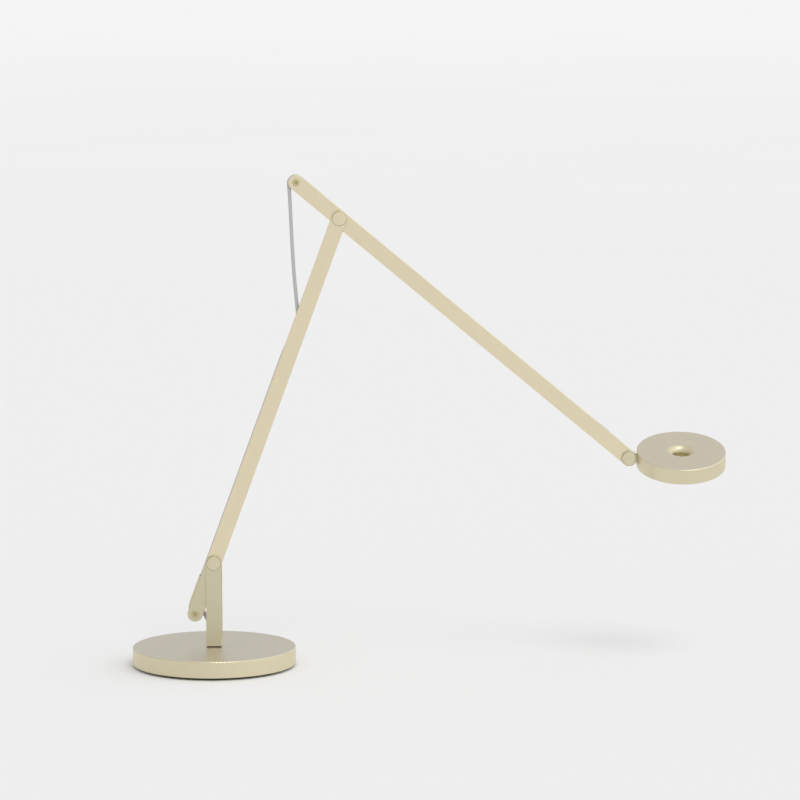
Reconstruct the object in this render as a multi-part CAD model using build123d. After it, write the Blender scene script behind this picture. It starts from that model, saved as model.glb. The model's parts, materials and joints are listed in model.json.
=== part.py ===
"""Balanced-arm desk lamp: a weighted round base, a swivelling forked post, two slim bar arms with
tails, a cord strung from arm to arm, and a flat round head on a tilting and rolling knuckle.

Millimetres. Origin at the centre of the foot's underside, +Z up, +X from the base towards the head.
The arms lie in the XZ plane. "Front" is the -Y side.
"""

from build123d import *
import math
import os

# ---------------------------------------------------------------- driving dimensions
# Base
BASE_RADIUS = 90.0
BASE_TOP = 21.4
FOOT_RADIUS = 84.0
FOOT_HEIGHT = 2.6
COVER_WALL = 3.5
COVER_TOP_WALL = 4.0
BASE_FIXINGS_RADIUS = 76.0
INLET_HEIGHT = 8.7
INLET_BARREL_RADIUS = 3.3
INLET_FLANGE_RADIUS = 4.0
INLET_BORE_RADIUS = 2.3

# Post
POST_WIDTH = 17.0
POST_DEPTH = 16.4
POST_GAP = 1.0
POST_SLOT_FLOOR = 31.0
LOWER_PIVOT_Z = 115.0

# Arms
ARM_WIDTH = 17.0
LOWER_ARM_DEPTH = 11.6
UPPER_ARM_DEPTH = 7.2
LOWER_ARM_LENGTH = 404.5
UPPER_ARM_LENGTH = 412.66
LOWER_ARM_LEAN = 20.09
UPPER_ARM_DROP = 39.7
LOWER_TAIL = 60.6
UPPER_TAIL = 61.0
LOWER_ARM_WALL = 1.6
UPPER_ARM_WALL = 1.35
SIDE_GAP = 0.4
FORK_SLOT_DEPTH = 29.0

# Pivots
LOWER_SHAFT_RADIUS = 3.0
UPPER_SHAFT_RADIUS = 2.0
RUNNING_CLEARANCE = 0.05
CAP_RADIUS = 7.85
CAP_THICKNESS = 1.2
CAP_STUB_RADIUS = 1.2
CAP_STUB_LENGTH = 2.0
TAIL_AXLE_RADIUS = 3.5
TAIL_RECESS_RADIUS = 3.85
TAIL_RECESS_DEPTH = 0.5

# Cord and leads
CORD_RADIUS = 2.0
LEAD_RADIUS = 1.2
CORD_SLOT = 4.3
GUIDE_PIN_RADIUS = 1.2
GUIDE_CLEARANCE = 0.05
GUIDE_ALONG = 283.0
GUIDE_OFFSET = 6.9
GROOVE_OFFSET = 7.3
COVER_START = -48.5
COVER_END = -18.2
COVER_OFFSET = 10.35
PULLEY_RADIUS = 6.0
CORD_RISER_TOP = 37.8
LINK_TRIM = 0.6
UPPER_CORD_OFFSET = 5.0

# Balance spring in the upper arm
SLIDER_ALONG = 70.0
SLIDER_LENGTH = 14.0
SPRING_RADIUS = 2.05
SPRING_WIRE_RADIUS = 0.35
EYE_RADIUS = 1.4
SPRING_OFFSET = -2.6
ANCHOR_ALONG = 250.0
ANCHOR_PIN_RADIUS = 1.0
BLIND_WALL = 0.7

# Head
HEAD_REACH = 57.4
HEAD_RADIUS = 48.9
HEAD_HALF_HEIGHT = 8.75
HEAD_ROLL = 18.0
HEAD_WALL = 2.2
FUNNEL_LIP_RADIUS = 16.4
FUNNEL_RADIUS = 8.5
FUNNEL_WALL = 2.2
NECK_RADIUS = 5.8
NECK_END = 13.0
NECK_POCKET_RADIUS = 6.3
NECK_POCKET_DEPTH = 5.3
SPIGOT_RADIUS = 2.6
LED_COUNT = 24
BUTTON_TOP = -4.2
BUTTON_RADIUS = 8.1
BUTTON_THICKNESS = 1.4
BUTTON_DISH = 0.6
BUTTON_DISH_RADIUS = 20.0
SPRING_SEAT = -7.1

# ---------------------------------------------------------------- derived frames
HALF_WIDTH = ARM_WIDTH / 2
PIVOT_RADIUS = ARM_WIDTH / 2
LOWER_HALF = LOWER_ARM_DEPTH / 2
UPPER_HALF = UPPER_ARM_DEPTH / 2
POST_HALF = POST_DEPTH / 2
HEAD_FORK_HALF = LOWER_HALF
GUIDE_BEND = GUIDE_PIN_RADIUS + CORD_RADIUS + GUIDE_CLEARANCE

_lean = math.radians(LOWER_ARM_LEAN)
_drop = math.radians(UPPER_ARM_DROP)
LOWER_PIVOT = Vector(0, 0, LOWER_PIVOT_Z)
LOWER_DIRECTION = Vector(math.sin(_lean), 0, math.cos(_lean))
UPPER_PIVOT = LOWER_PIVOT + LOWER_DIRECTION * LOWER_ARM_LENGTH
UPPER_DIRECTION = Vector(math.cos(_drop), 0, -math.sin(_drop))
HEAD_PIVOT = UPPER_PIVOT + UPPER_DIRECTION * UPPER_ARM_LENGTH

# In each of these planes x runs along the piece, y is its upper or rear side and z faces the front.
FRONT = Vector(0, -1, 0)
POST_PLANE = Plane(origin=(0, 0, 0), x_dir=(1, 0, 0), z_dir=FRONT)
LOWER_PLANE = Plane(origin=LOWER_PIVOT, x_dir=LOWER_DIRECTION, z_dir=FRONT)
UPPER_PLANE = Plane(origin=UPPER_PIVOT, x_dir=UPPER_DIRECTION, z_dir=FRONT)
KNUCKLE_PLANE = Plane(origin=HEAD_PIVOT, x_dir=(1, 0, 0), z_dir=FRONT)
HEAD_LOCATION = Location(HEAD_PIVOT + Vector(HEAD_REACH, 0, 0)) * Rotation(HEAD_ROLL, 0, 0)


# ---------------------------------------------------------------- small helpers
def disc(radius, bottom, top, centre=(0, 0)):
    """A round plate on the local z axis between two heights."""
    return Pos(centre[0], centre[1], (bottom + top) / 2) * Cylinder(radius, top - bottom)


def ring(outer, inner, bottom, top, centre=(0, 0)):
    """A flat ring on the local z axis between two heights."""
    return disc(outer, bottom, top, centre) - disc(inner, bottom - 1, top + 1, centre)


def block(x_range, y_range, z_range):
    """A box given by its lowest and highest value on each axis."""
    size = [high - low for low, high in (x_range, y_range, z_range)]
    middle = [(high + low) / 2 for low, high in (x_range, y_range, z_range)]
    return Pos(*middle) * Box(*size)


def round_ended(start, end, radius, half_depth):
    """A bar along x with half-round ends centred on start and end."""
    outline = Pos((start + end) / 2, 0) * SlotCenterToCenter(end - start, 2 * radius)
    return Pos(0, 0, -half_depth) * extrude(outline, 2 * half_depth)


def rod_between(start, end, radius):
    """A straight round rod between two points."""
    return swept(Line(start, end), radius)


def swept(path, radius):
    """A round tube along a path."""
    return sweep(Plane(path @ 0, z_dir=path % 0) * Circle(radius), path=path)


def in_plane(plane, x, y):
    """The world point at (x, y) on the middle of a plane."""
    return plane.from_local_coords(Vector(x, y, 0))


def softened(bar, radius=0.5):
    """Breaks the two long outlines of a bar made by extruding along local z."""
    faces = bar.faces().sort_by(Axis.Z)
    return fillet(faces[0].edges() + faces[-1].edges(), radius)


# ---------------------------------------------------------------- base
def base_cover():
    cover = disc(BASE_RADIUS, FOOT_HEIGHT, BASE_TOP)
    cover = fillet(cover.edges().group_by(Axis.Z)[-1], 1.3)
    cover = fillet(cover.edges().group_by(Axis.Z)[0], 0.8)
    cover -= disc(BASE_RADIUS - COVER_WALL, FOOT_HEIGHT - 1, BASE_TOP - COVER_TOP_WALL)
    for spot in fixing_places():
        cover += disc(4.0, FOOT_HEIGHT + 2, BASE_TOP - COVER_TOP_WALL + 0.5, spot)
        cover -= disc(1.6, FOOT_HEIGHT + 1, FOOT_HEIGHT + 11, spot)
    cover -= disc(8.0, 0, BASE_TOP + 1)
    cover -= inlet_axis_rod(INLET_BARREL_RADIUS, BASE_RADIUS - 12, BASE_RADIUS + 5)
    return cover


def fixing_places():
    """Centres of the four fixings under the base."""
    angles = [math.radians(45 + 90 * i) for i in range(4)]
    return [(BASE_FIXINGS_RADIUS * math.cos(a), BASE_FIXINGS_RADIUS * math.sin(a)) for a in angles]


def inlet_axis_rod(radius, near, far):
    """A rod on the cable inlet's axis, between two distances behind the base's centre."""
    return rod_between((0, near, INLET_HEIGHT), (0, far, INLET_HEIGHT), radius)


def base_ballast():
    ballast = disc(BASE_RADIUS - COVER_WALL - 0.5, FOOT_HEIGHT + 2, BASE_TOP - COVER_TOP_WALL - 0.5)
    ballast -= disc(17.0, 0, BASE_TOP)
    for spot in fixing_places():
        ballast -= disc(4.6, 0, BASE_TOP, spot)
    ballast -= block((-5, 5), (0, BASE_RADIUS), (0, BASE_TOP))
    return fillet(ballast.edges().filter_by(GeomType.CIRCLE).group_by(Axis.Z)[-1][:1], 0.4)


def base_bottom_plate():
    plate = disc(BASE_RADIUS - COVER_WALL - 0.1, FOOT_HEIGHT, FOOT_HEIGHT + 2)
    for spot in fixing_places():
        plate -= disc(1.7, 0, 10, spot)
        plate -= disc(3.1, 0, FOOT_HEIGHT + 1.2, spot)
    return plate


def base_screws():
    screws = []
    for spot in fixing_places():
        head = disc(3.0, FOOT_HEIGHT + 0.1, FOOT_HEIGHT + 1.2, spot)
        head -= Pos(spot[0], spot[1], FOOT_HEIGHT) * extrude(RegularPolygon(1.3, 6), 0.8)
        screws.append(head + disc(1.6, FOOT_HEIGHT + 1.1, FOOT_HEIGHT + 9, spot))
    return Compound(children=screws)


def base_foot_pad():
    return disc(FOOT_RADIUS, 0, FOOT_HEIGHT)


def cable_inlet():
    inlet = inlet_axis_rod(INLET_BARREL_RADIUS, BASE_RADIUS - 12, BASE_RADIUS + 0.5)
    inlet += inlet_axis_rod(INLET_FLANGE_RADIUS, BASE_RADIUS - 12, BASE_RADIUS - COVER_WALL - 0.9)
    inlet += inlet_axis_rod(INLET_FLANGE_RADIUS, BASE_RADIUS, BASE_RADIUS + 1.0)
    return inlet - inlet_axis_rod(INLET_BORE_RADIUS, BASE_RADIUS - 13, BASE_RADIUS + 2)


def swivel_bush():
    flange_top = BASE_TOP - COVER_TOP_WALL
    bush = disc(8.0, flange_top - 1.5, BASE_TOP) + disc(11.0, flange_top - 1.5, flange_top)
    return bush - disc(6.0 + RUNNING_CLEARANCE, 0, BASE_TOP + 1)


def base_cord_route():
    """In from the cable inlet and up into the post's spigot."""
    rise = 6.0
    start = (0, BASE_RADIUS - 12, INLET_HEIGHT)
    corner = (0, 0, INLET_HEIGHT)
    top = (0, 0, INLET_HEIGHT + rise + 0.5)
    return FilletPolyline(start, corner, top, radius=[rise]), CORD_RADIUS


# ---------------------------------------------------------------- post
def post_fork():
    bottom = BASE_TOP + POST_GAP
    height = LOWER_PIVOT_Z - bottom
    outline = Pos(0, bottom + height / 2) * Rectangle(POST_WIDTH, height)
    outline += Pos(0, LOWER_PIVOT_Z) * Circle(PIVOT_RADIUS)
    post = softened(Pos(0, 0, -POST_HALF) * extrude(outline, POST_DEPTH))
    half_slot = LOWER_HALF + SIDE_GAP
    post -= block((-20, 20), (POST_SLOT_FLOOR, 140), (-half_slot, half_slot))
    post -= disc(LOWER_SHAFT_RADIUS, -POST_DEPTH, POST_DEPTH, (0, LOWER_PIVOT_Z))
    post = POST_PLANE.location * post
    return post - disc(5.0, BASE_TOP, POST_SLOT_FLOOR + 1)


def post_spigot():
    bottom = INLET_HEIGHT + 3.5
    spigot = disc(6.0, bottom, BASE_TOP + POST_GAP) + disc(5.0, BASE_TOP, POST_SLOT_FLOOR - 0.5)
    spigot -= disc(2.8, bottom - 1, POST_SLOT_FLOOR + 1)
    mouth = spigot.edges().filter_by(GeomType.CIRCLE).group_by(Axis.Z)[0].sort_by(SortBy.RADIUS)[0]
    return chamfer(mouth, 1.2)


def swivel_washer():
    return ring(7.4, 6.1, BASE_TOP, BASE_TOP + POST_GAP)


def swivel_nut():
    flange_bottom = BASE_TOP - COVER_TOP_WALL - 1.5
    nut = Pos(0, 0, flange_bottom - 3.6) * extrude(RegularPolygon(10.0, 6), 3.2)
    nut += disc(10.5, flange_bottom - 0.45, flange_bottom - 0.05)
    return nut - disc(6.0, 0, BASE_TOP)


def post_cord_route():
    """Straight up inside the post."""
    return Line((0, 0, INLET_HEIGHT + 6.5), (0, 0, CORD_RISER_TOP - LINK_TRIM)), CORD_RADIUS


# ---------------------------------------------------------------- pivot hardware shared by the joints
def pivot_shaft(plane, radius, half_length, along=0.0):
    """A shaft across a fork, bored at both ends for the cap stubs."""
    shaft = disc(radius, -half_length, half_length, (along, 0))
    for side in (-1, 1):
        end = side * half_length
        inner = end - side * (CAP_STUB_LENGTH + 0.5)
        shaft -= disc(CAP_STUB_RADIUS, min(inner, end + side), max(inner, end + side), (along, 0))
    return plane.location * shaft


def pivot_caps(plane, face, along=0.0):
    """The round cover discs on a fork's two faces, with the stubs that hold them in the shaft."""
    plate = disc(CAP_RADIUS, face, face + CAP_THICKNESS, (along, 0))
    plate = fillet(plate.edges().group_by(Axis.Z)[-1], 0.4)
    plate += disc(CAP_STUB_RADIUS, face - CAP_STUB_LENGTH, face + 0.2, (along, 0))
    return plane.location * Compound(children=[plate, mirror(plate, Plane.XY)])


def friction_washers(plane, shaft_radius, arm_half, along=0.0):
    """The thin washers in the gaps beside an arm, between it and the fork's cheeks."""
    spare = 0.03
    low = arm_half + spare
    high = arm_half + SIDE_GAP - spare
    inner = shaft_radius + 0.1
    front = ring(7.4, inner, low, high, (along, 0))
    rear = ring(7.4, inner, -high, -low, (along, 0))
    return plane.location * Compound(children=[front, rear])


def pivot_bush(plane, shaft_radius, wall, arm_half, along=0.0):
    """The bearing sleeve fixed in an arm."""
    bore = shaft_radius + RUNNING_CLEARANCE
    return plane.location * ring(shaft_radius + wall, bore, -arm_half, arm_half, (along, 0))


def tail_axle(plane, half_depth, along):
    """The flush screw through an arm's tail, with a hexagon socket in its rear end."""
    axle = disc(TAIL_AXLE_RADIUS, -half_depth, half_depth, (along, 0))
    axle = chamfer(axle.edges().filter_by(GeomType.CIRCLE), 0.3)
    axle -= Pos(along, 0, -half_depth - 0.1) * extrude(RegularPolygon(1.45, 6), 1.6)
    return plane.location * axle


def tail_recesses(half_depth, along):
    """The shallow round recesses that show as a fine dark ring about each tail screw."""
    front = disc(TAIL_RECESS_RADIUS, half_depth - TAIL_RECESS_DEPTH, half_depth + 1, (along, 0))
    rear = disc(TAIL_RECESS_RADIUS, -half_depth - 1, -half_depth + TAIL_RECESS_DEPTH, (along, 0))
    return front + rear


# ---------------------------------------------------------------- lower arm
LOWER_BUSH_WALL = 2.0
TAIL_EXIT = Vector(-11.4, 0, 58.8)


def lower_cord_points():
    """The cord's route in the lower arm's plane, from the tail's mouth up to the guide pin."""
    mouth = LOWER_PLANE.to_local_coords(TAIL_EXIT)
    riser = LOWER_PLANE.to_local_coords(Vector(0, 0, CORD_RISER_TOP))
    way = (mouth - riser).normalized()
    corner_along = mouth.X + way.X * (GROOVE_OFFSET - mouth.Y) / way.Y
    under_pin = GUIDE_OFFSET - GUIDE_BEND
    return [
        (mouth.X, mouth.Y),
        (corner_along, GROOVE_OFFSET),
        (GUIDE_ALONG - 32, GROOVE_OFFSET),
        (GUIDE_ALONG - 12, under_pin),
        (GUIDE_ALONG, under_pin),
    ]


def lower_arm_bar():
    bar = softened(round_ended(-LOWER_TAIL, LOWER_ARM_LENGTH, HALF_WIDTH, LOWER_HALF))
    fork_floor = LOWER_ARM_LENGTH - FORK_SLOT_DEPTH
    inner_half = LOWER_HALF - LOWER_ARM_WALL
    cavity = round_ended(-LOWER_TAIL, fork_floor - 30, HALF_WIDTH - LOWER_ARM_WALL, inner_half)
    bar -= cavity
    fork_half = UPPER_HALF + SIDE_GAP
    bar -= block((fork_floor, LOWER_ARM_LENGTH + 20), (-20, 20), (-fork_half, fork_half))
    groove = (-CORD_SLOT / 2, CORD_SLOT / 2)
    corner_along = lower_cord_points()[1][0]
    bar -= block((corner_along - 5, GUIDE_ALONG + 19), (3.0, 20), groove)
    bar -= disc(LOWER_SHAFT_RADIUS + LOWER_BUSH_WALL, -20, 20)
    bar -= disc(UPPER_SHAFT_RADIUS, -20, 20, (LOWER_ARM_LENGTH, 0))
    bar -= disc(TAIL_AXLE_RADIUS, -20, 20, (-LOWER_TAIL, 0))
    bar -= tail_recesses(LOWER_HALF, -LOWER_TAIL)
    bar -= disc(GUIDE_PIN_RADIUS, -20, LOWER_HALF - BLIND_WALL, (GUIDE_ALONG, GUIDE_OFFSET))
    mouth = lower_mouth_rod(2.6)
    return LOWER_PLANE.location * bar - mouth


def lower_mouth_rod(radius):
    """A rod along the cord's slanting run through the tail."""
    points = lower_cord_points()
    start = Vector(*points[0])
    end = Vector(*points[1])
    way = (end - start).normalized()
    far = end - way * 4
    near = start - way * 6
    return rod_between(in_plane(LOWER_PLANE, near.X, near.Y), in_plane(LOWER_PLANE, far.X, far.Y), radius)


def lower_tail_plug():
    inner_half = LOWER_HALF - LOWER_ARM_WALL - 0.1
    radius = HALF_WIDTH - LOWER_ARM_WALL - 0.1
    plug = round_ended(-LOWER_TAIL, -LOWER_TAIL + 12, radius, inner_half)
    plug -= block((-LOWER_TAIL + 9, 0), (-20, 20), (-20, 20))
    plug -= disc(TAIL_AXLE_RADIUS, -20, 20, (-LOWER_TAIL, 0))
    return LOWER_PLANE.location * plug - lower_mouth_rod(2.3)


def tail_cord_cover():
    """The proud strip that closes the rear groove over the cord's bend into the tail."""
    half_depth = LOWER_HALF - 0.25
    cover = block((COVER_START, COVER_END), (HALF_WIDTH, COVER_OFFSET), (-half_depth, half_depth))
    lower_corner = cover.edges().filter_by(Axis.Z).sort_by(Axis.X)[:2].sort_by(Axis.Y)[-1]
    cover = fillet(lower_corner, 1.7)
    upper_corner = cover.edges().filter_by(Axis.Z).sort_by(Axis.X)[-2:].sort_by(Axis.Y)[-1]
    cover = fillet(upper_corner, 0.3)
    channel = CORD_SLOT / 2
    cover -= block((COVER_START + 3, COVER_END + 1), (0, GROOVE_OFFSET + CORD_RADIUS + 0.1), (-channel, channel))
    return LOWER_PLANE.location * cover


def lower_arm_cord_route():
    """In at the tail, up the rear groove and down under the guide pin."""
    world = [in_plane(LOWER_PLANE, x, y) for x, y in lower_cord_points()]
    return FilletPolyline(*world, radius=[18.0, 60.0, 30.0]), CORD_RADIUS


def tail_link_route():
    """Straight across from the post to the lower tail."""
    riser = Vector(0, 0, CORD_RISER_TOP)
    way = (TAIL_EXIT - riser).normalized()
    return Line(riser + way * LINK_TRIM, TAIL_EXIT), CORD_RADIUS


def cord_guide_pin():
    """The cord's last guide, pressed in from the rear face so that the front face stays whole."""
    pin = disc(GUIDE_PIN_RADIUS, -LOWER_HALF + 0.3, LOWER_HALF - BLIND_WALL, (GUIDE_ALONG, GUIDE_OFFSET))
    return LOWER_PLANE.location * pin


# ---------------------------------------------------------------- free cord between the arms
def cord_tangents():
    """Where the taut stretch leaves the guide pin and where it meets the tail pulley."""
    pin = in_plane(LOWER_PLANE, GUIDE_ALONG, GUIDE_OFFSET)
    pulley = in_plane(UPPER_PLANE, -UPPER_TAIL, 0)
    pulley_bend = PULLEY_RADIUS + CORD_RADIUS
    across = pulley - pin
    turn = math.asin((GUIDE_BEND + pulley_bend) / across.length)
    angle = math.atan2(across.Z, across.X) + turn
    right = Vector(math.sin(angle), 0, -math.cos(angle))
    return pin + right * GUIDE_BEND, pulley - right * pulley_bend


def guide_bend_route():
    """The cord's short bend round the guide pin."""
    start = in_plane(LOWER_PLANE, GUIDE_ALONG, GUIDE_OFFSET - GUIDE_BEND)
    end, _ = cord_tangents()
    return TangentArc(start, end, tangent=LOWER_DIRECTION), CORD_RADIUS


def stretch_lower_route():
    """The taut stretch's lower half, which swings with the upper arm's turn."""
    start, end = cord_tangents()
    return Line(start, (start + end) * 0.5), CORD_RADIUS


def stretch_upper_route():
    """The taut stretch's upper half, which the tail pulley takes in and lets out."""
    start, end = cord_tangents()
    return Line((start + end) * 0.5, end), CORD_RADIUS


# ---------------------------------------------------------------- upper arm
UPPER_BUSH_WALL = 0.9
LEAD_WINDOW = (UPPER_ARM_LENGTH - 64, UPPER_ARM_LENGTH - 20)


def upper_arm_bar():
    bar = softened(round_ended(-UPPER_TAIL, UPPER_ARM_LENGTH, HALF_WIDTH, UPPER_HALF))
    inner_half = UPPER_HALF - UPPER_ARM_WALL
    inner_width = HALF_WIDTH - 1.4
    bar -= block((-UPPER_TAIL + 10, UPPER_ARM_LENGTH - 15), (-inner_width, inner_width), (-inner_half, inner_half))
    groove = (-CORD_SLOT / 2, CORD_SLOT / 2)
    bar -= block((-UPPER_TAIL - 20, -UPPER_TAIL + 11), (-20, 20), groove)
    bar -= block((-UPPER_TAIL, -UPPER_TAIL + 26), (3.0, 20), groove)
    bar -= disc(UPPER_SHAFT_RADIUS + UPPER_BUSH_WALL, -20, 20)
    bar -= disc(UPPER_SHAFT_RADIUS + UPPER_BUSH_WALL, -20, 20, (UPPER_ARM_LENGTH, 0))
    bar -= disc(TAIL_AXLE_RADIUS, -20, 20, (-UPPER_TAIL, 0))
    bar -= tail_recesses(UPPER_HALF, -UPPER_TAIL)
    bar -= disc(ANCHOR_PIN_RADIUS, -20, UPPER_HALF - BLIND_WALL, (ANCHOR_ALONG, SPRING_OFFSET))
    slit = (-LEAD_RADIUS - 0.25, LEAD_RADIUS + 0.25)
    bar -= block(LEAD_WINDOW, (5.0, 20), slit)
    bar -= block((UPPER_ARM_LENGTH - 20, UPPER_ARM_LENGTH + 20), (3.6, 7.2), slit)
    return UPPER_PLANE.location * bar


def cord_pulley():
    bore = TAIL_AXLE_RADIUS + RUNNING_CLEARANCE
    return UPPER_PLANE.location * ring(PULLEY_RADIUS, bore, -2.0, 2.0, (-UPPER_TAIL, 0))


def upper_arm_cord_route():
    """Over the tail pulley from the taut stretch, then into the arm as far as the spring slider."""
    pulley = in_plane(UPPER_PLANE, -UPPER_TAIL, 0)
    bend = PULLEY_RADIUS + CORD_RADIUS
    _, meets = cord_tangents()
    slope = math.radians(12)
    leave = Vector(-UPPER_TAIL + bend * math.sin(slope), bend * math.cos(slope))
    middle_way = (meets - pulley).normalized() + (in_plane(UPPER_PLANE, leave.X, leave.Y) - pulley).normalized()
    outer_way = middle_way.normalized() * bend
    wrap = ThreePointArc(meets, pulley + outer_way, in_plane(UPPER_PLANE, leave.X, leave.Y))
    drop = leave.Y - UPPER_CORD_OFFSET
    corner = (leave.X + drop / math.tan(slope), UPPER_CORD_OFFSET)
    world = [in_plane(UPPER_PLANE, *p) for p in ((leave.X, leave.Y), corner, (SLIDER_ALONG, UPPER_CORD_OFFSET))]
    inward = FilletPolyline(*world, radius=[30.0])
    return Wire([*wrap.edges(), *inward.edges()]), CORD_RADIUS


def spring_slider():
    inner_half = UPPER_HALF - UPPER_ARM_WALL - 0.15
    along = (SLIDER_ALONG, SLIDER_ALONG + SLIDER_LENGTH)
    slider = block(along, (-6.9, 6.9), (-inner_half, inner_half))
    slider -= block((along[1] - 5, along[1] + 1), (-6, 2.4), (-1.2, 1.2))
    slider -= disc(0.9, -5, 5, (along[1] - 2.5, SPRING_OFFSET))
    return UPPER_PLANE.location * slider


def balance_spring():
    """The close-wound tension spring, drawn as its coil body with an eye at each end."""
    start = SLIDER_ALONG + SLIDER_LENGTH + 0.4
    end = ANCHOR_ALONG - EYE_RADIUS - SPRING_WIRE_RADIUS - 0.6
    lying = Plane(origin=(0, SPRING_OFFSET, 0), x_dir=(0, 1, 0), z_dir=(1, 0, 0))
    coil = lying.location * ring(SPRING_RADIUS, SPRING_RADIUS - 2 * SPRING_WIRE_RADIUS, start, end)
    eye = Pos(ANCHOR_ALONG, SPRING_OFFSET, 0) * Torus(EYE_RADIUS, SPRING_WIRE_RADIUS)
    cap = lying.location * disc(SPRING_RADIUS - SPRING_WIRE_RADIUS, end - 0.6, end)
    shank = rod_between((end - 0.3, SPRING_OFFSET, 0), (ANCHOR_ALONG - EYE_RADIUS, SPRING_OFFSET, 0), 0.3)
    return UPPER_PLANE.location * (coil + cap + shank + eye)


def spring_anchor_pin():
    """The pin that holds the spring's far eye, pressed in from the rear face."""
    low = -UPPER_HALF + 0.1
    high = UPPER_HALF - BLIND_WALL
    return UPPER_PLANE.location * disc(ANCHOR_PIN_RADIUS, low, high, (ANCHOR_ALONG, SPRING_OFFSET))


def arm_lead_route():
    """The thin lead from the slider to the head end, showing in the window on the arm's upper edge."""
    top = HALF_WIDTH - LEAD_RADIUS + 0.5
    low = UPPER_CORD_OFFSET
    stations = [
        (SLIDER_ALONG + SLIDER_LENGTH, low),
        (LEAD_WINDOW[0] - 1, low),
        (LEAD_WINDOW[0] + 15, top),
        (LEAD_WINDOW[1] - 15, top),
        (LEAD_WINDOW[1] - 1, low + 0.6),
        (UPPER_ARM_LENGTH + 2, low + 0.6),
    ]
    world = [in_plane(UPPER_PLANE, x, y) for x, y in stations]
    return FilletPolyline(*world, radius=[40.0, 20.0, 20.0, 20.0]), LEAD_RADIUS


# ---------------------------------------------------------------- knuckle
def head_knuckle():
    cheeks = Pos(0, 0, -HEAD_FORK_HALF) * extrude(Circle(PIVOT_RADIUS), 2 * HEAD_FORK_HALF)
    cheeks = fillet(cheeks.edges().filter_by(GeomType.CIRCLE), 0.5)
    neck = Rotation(0, 90, 0) * disc(NECK_RADIUS, 5.0, NECK_END)
    knuckle = cheeks + neck
    slot_half = UPPER_HALF + SIDE_GAP
    reach = PIVOT_RADIUS + 0.6
    knuckle -= block((-reach, reach), (-reach, reach), (-slot_half, slot_half))
    knuckle -= disc(UPPER_SHAFT_RADIUS, -20, 20)
    knuckle -= Rotation(0, 90, 0) * disc(SPIGOT_RADIUS, 8.0, 20.0)
    return KNUCKLE_PLANE.location * knuckle


def neck_spigot():
    spigot = disc(SPIGOT_RADIUS, 9.2, 28.0)
    spigot -= disc(LEAD_RADIUS + 0.2, 0, 30)
    return KNUCKLE_PLANE.location * (Rotation(0, 90, 0) * spigot)


def neck_nut():
    nut = Pos(0, 0, 23.8) * extrude(RegularPolygon(4.4, 6), 3.0)
    nut -= disc(SPIGOT_RADIUS, 20, 30)
    return KNUCKLE_PLANE.location * (Rotation(0, 90, 0) * nut)


def neck_lead_route():
    """Straight through the neck's bore into the head."""
    start = KNUCKLE_PLANE.from_local_coords(Vector(9.4, 0, 0))
    return Line(start, KNUCKLE_PLANE.from_local_coords(Vector(28.0, 0, 0))), LEAD_RADIUS


def knuckle_lead_route():
    """The short free lead between the arm's end and the neck's bore."""
    start = in_plane(UPPER_PLANE, UPPER_ARM_LENGTH + 2, UPPER_CORD_OFFSET + 0.6)
    end = KNUCKLE_PLANE.from_local_coords(Vector(8.4, 0, 0))
    middle = in_plane(UPPER_PLANE, UPPER_ARM_LENGTH + 4.6, UPPER_CORD_OFFSET + 0.6)
    return FilletPolyline(start, middle, end, radius=[3.0]), LEAD_RADIUS


# ---------------------------------------------------------------- head, about its own centre
def head_housing():
    top = HEAD_HALF_HEIGHT
    lip_drop = FUNNEL_LIP_RADIUS - FUNNEL_RADIUS
    tube_bottom = -7.0
    tube_outer = FUNNEL_RADIUS + FUNNEL_WALL
    ceiling = top - 2.0
    bell_bottom = (tube_outer, top - lip_drop - 1.0)
    bell_top = (FUNNEL_LIP_RADIUS + 1.2, ceiling)
    outline = [
        Line((FUNNEL_LIP_RADIUS, top), (HEAD_RADIUS - 1.0, top)),
        JernArc((HEAD_RADIUS - 1.0, top), (1, 0), 1.0, -90),
        Line((HEAD_RADIUS, top - 1.0), (HEAD_RADIUS, -top + 0.7)),
        JernArc((HEAD_RADIUS, -top + 0.7), (0, -1), 0.7, -90),
        Line((HEAD_RADIUS - 0.7, -top), (HEAD_RADIUS - HEAD_WALL, -top)),
        Line((HEAD_RADIUS - HEAD_WALL, -top), (HEAD_RADIUS - HEAD_WALL, ceiling)),
        Line((HEAD_RADIUS - HEAD_WALL, ceiling), bell_top),
        Line(bell_top, bell_bottom),
        Line(bell_bottom, (tube_outer, tube_bottom)),
        Line((tube_outer, tube_bottom), (FUNNEL_RADIUS, tube_bottom)),
        Line((FUNNEL_RADIUS, tube_bottom), (FUNNEL_RADIUS, top - lip_drop)),
        JernArc((FUNNEL_RADIUS, top - lip_drop), (0, 1), lip_drop, -90),
    ]
    profile = Plane.XZ * make_face(outline)
    shell = revolve(profile, Axis.Z)
    pocket_floor = HEAD_RADIUS - NECK_POCKET_DEPTH
    cup = Rotation(0, -90, 0) * disc(NECK_POCKET_RADIUS + 1.2, pocket_floor - 1.6, HEAD_RADIUS - 1.5)
    boss = Rotation(0, -90, 0) * disc(4.0, pocket_floor - 9.5, pocket_floor)
    shell += cup + boss
    shell -= Rotation(0, -90, 0) * disc(NECK_POCKET_RADIUS, pocket_floor, HEAD_RADIUS + 2)
    shell -= Rotation(0, -90, 0) * disc(SPIGOT_RADIUS + RUNNING_CLEARANCE, 20, HEAD_RADIUS)
    return HEAD_LOCATION * shell


def led_board():
    return HEAD_LOCATION * ring(40.0, FUNNEL_LIP_RADIUS + 1.6, 5.15, 6.75)


def led_chips():
    chips = []
    for i in range(LED_COUNT):
        turn = 360 * (i + 0.5) / LED_COUNT
        chips.append(Rotation(0, 0, turn) * block((28.5, 31.5), (-1.5, 1.5), (4.35, 5.15)))
    return HEAD_LOCATION * Compound(children=chips)


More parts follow.
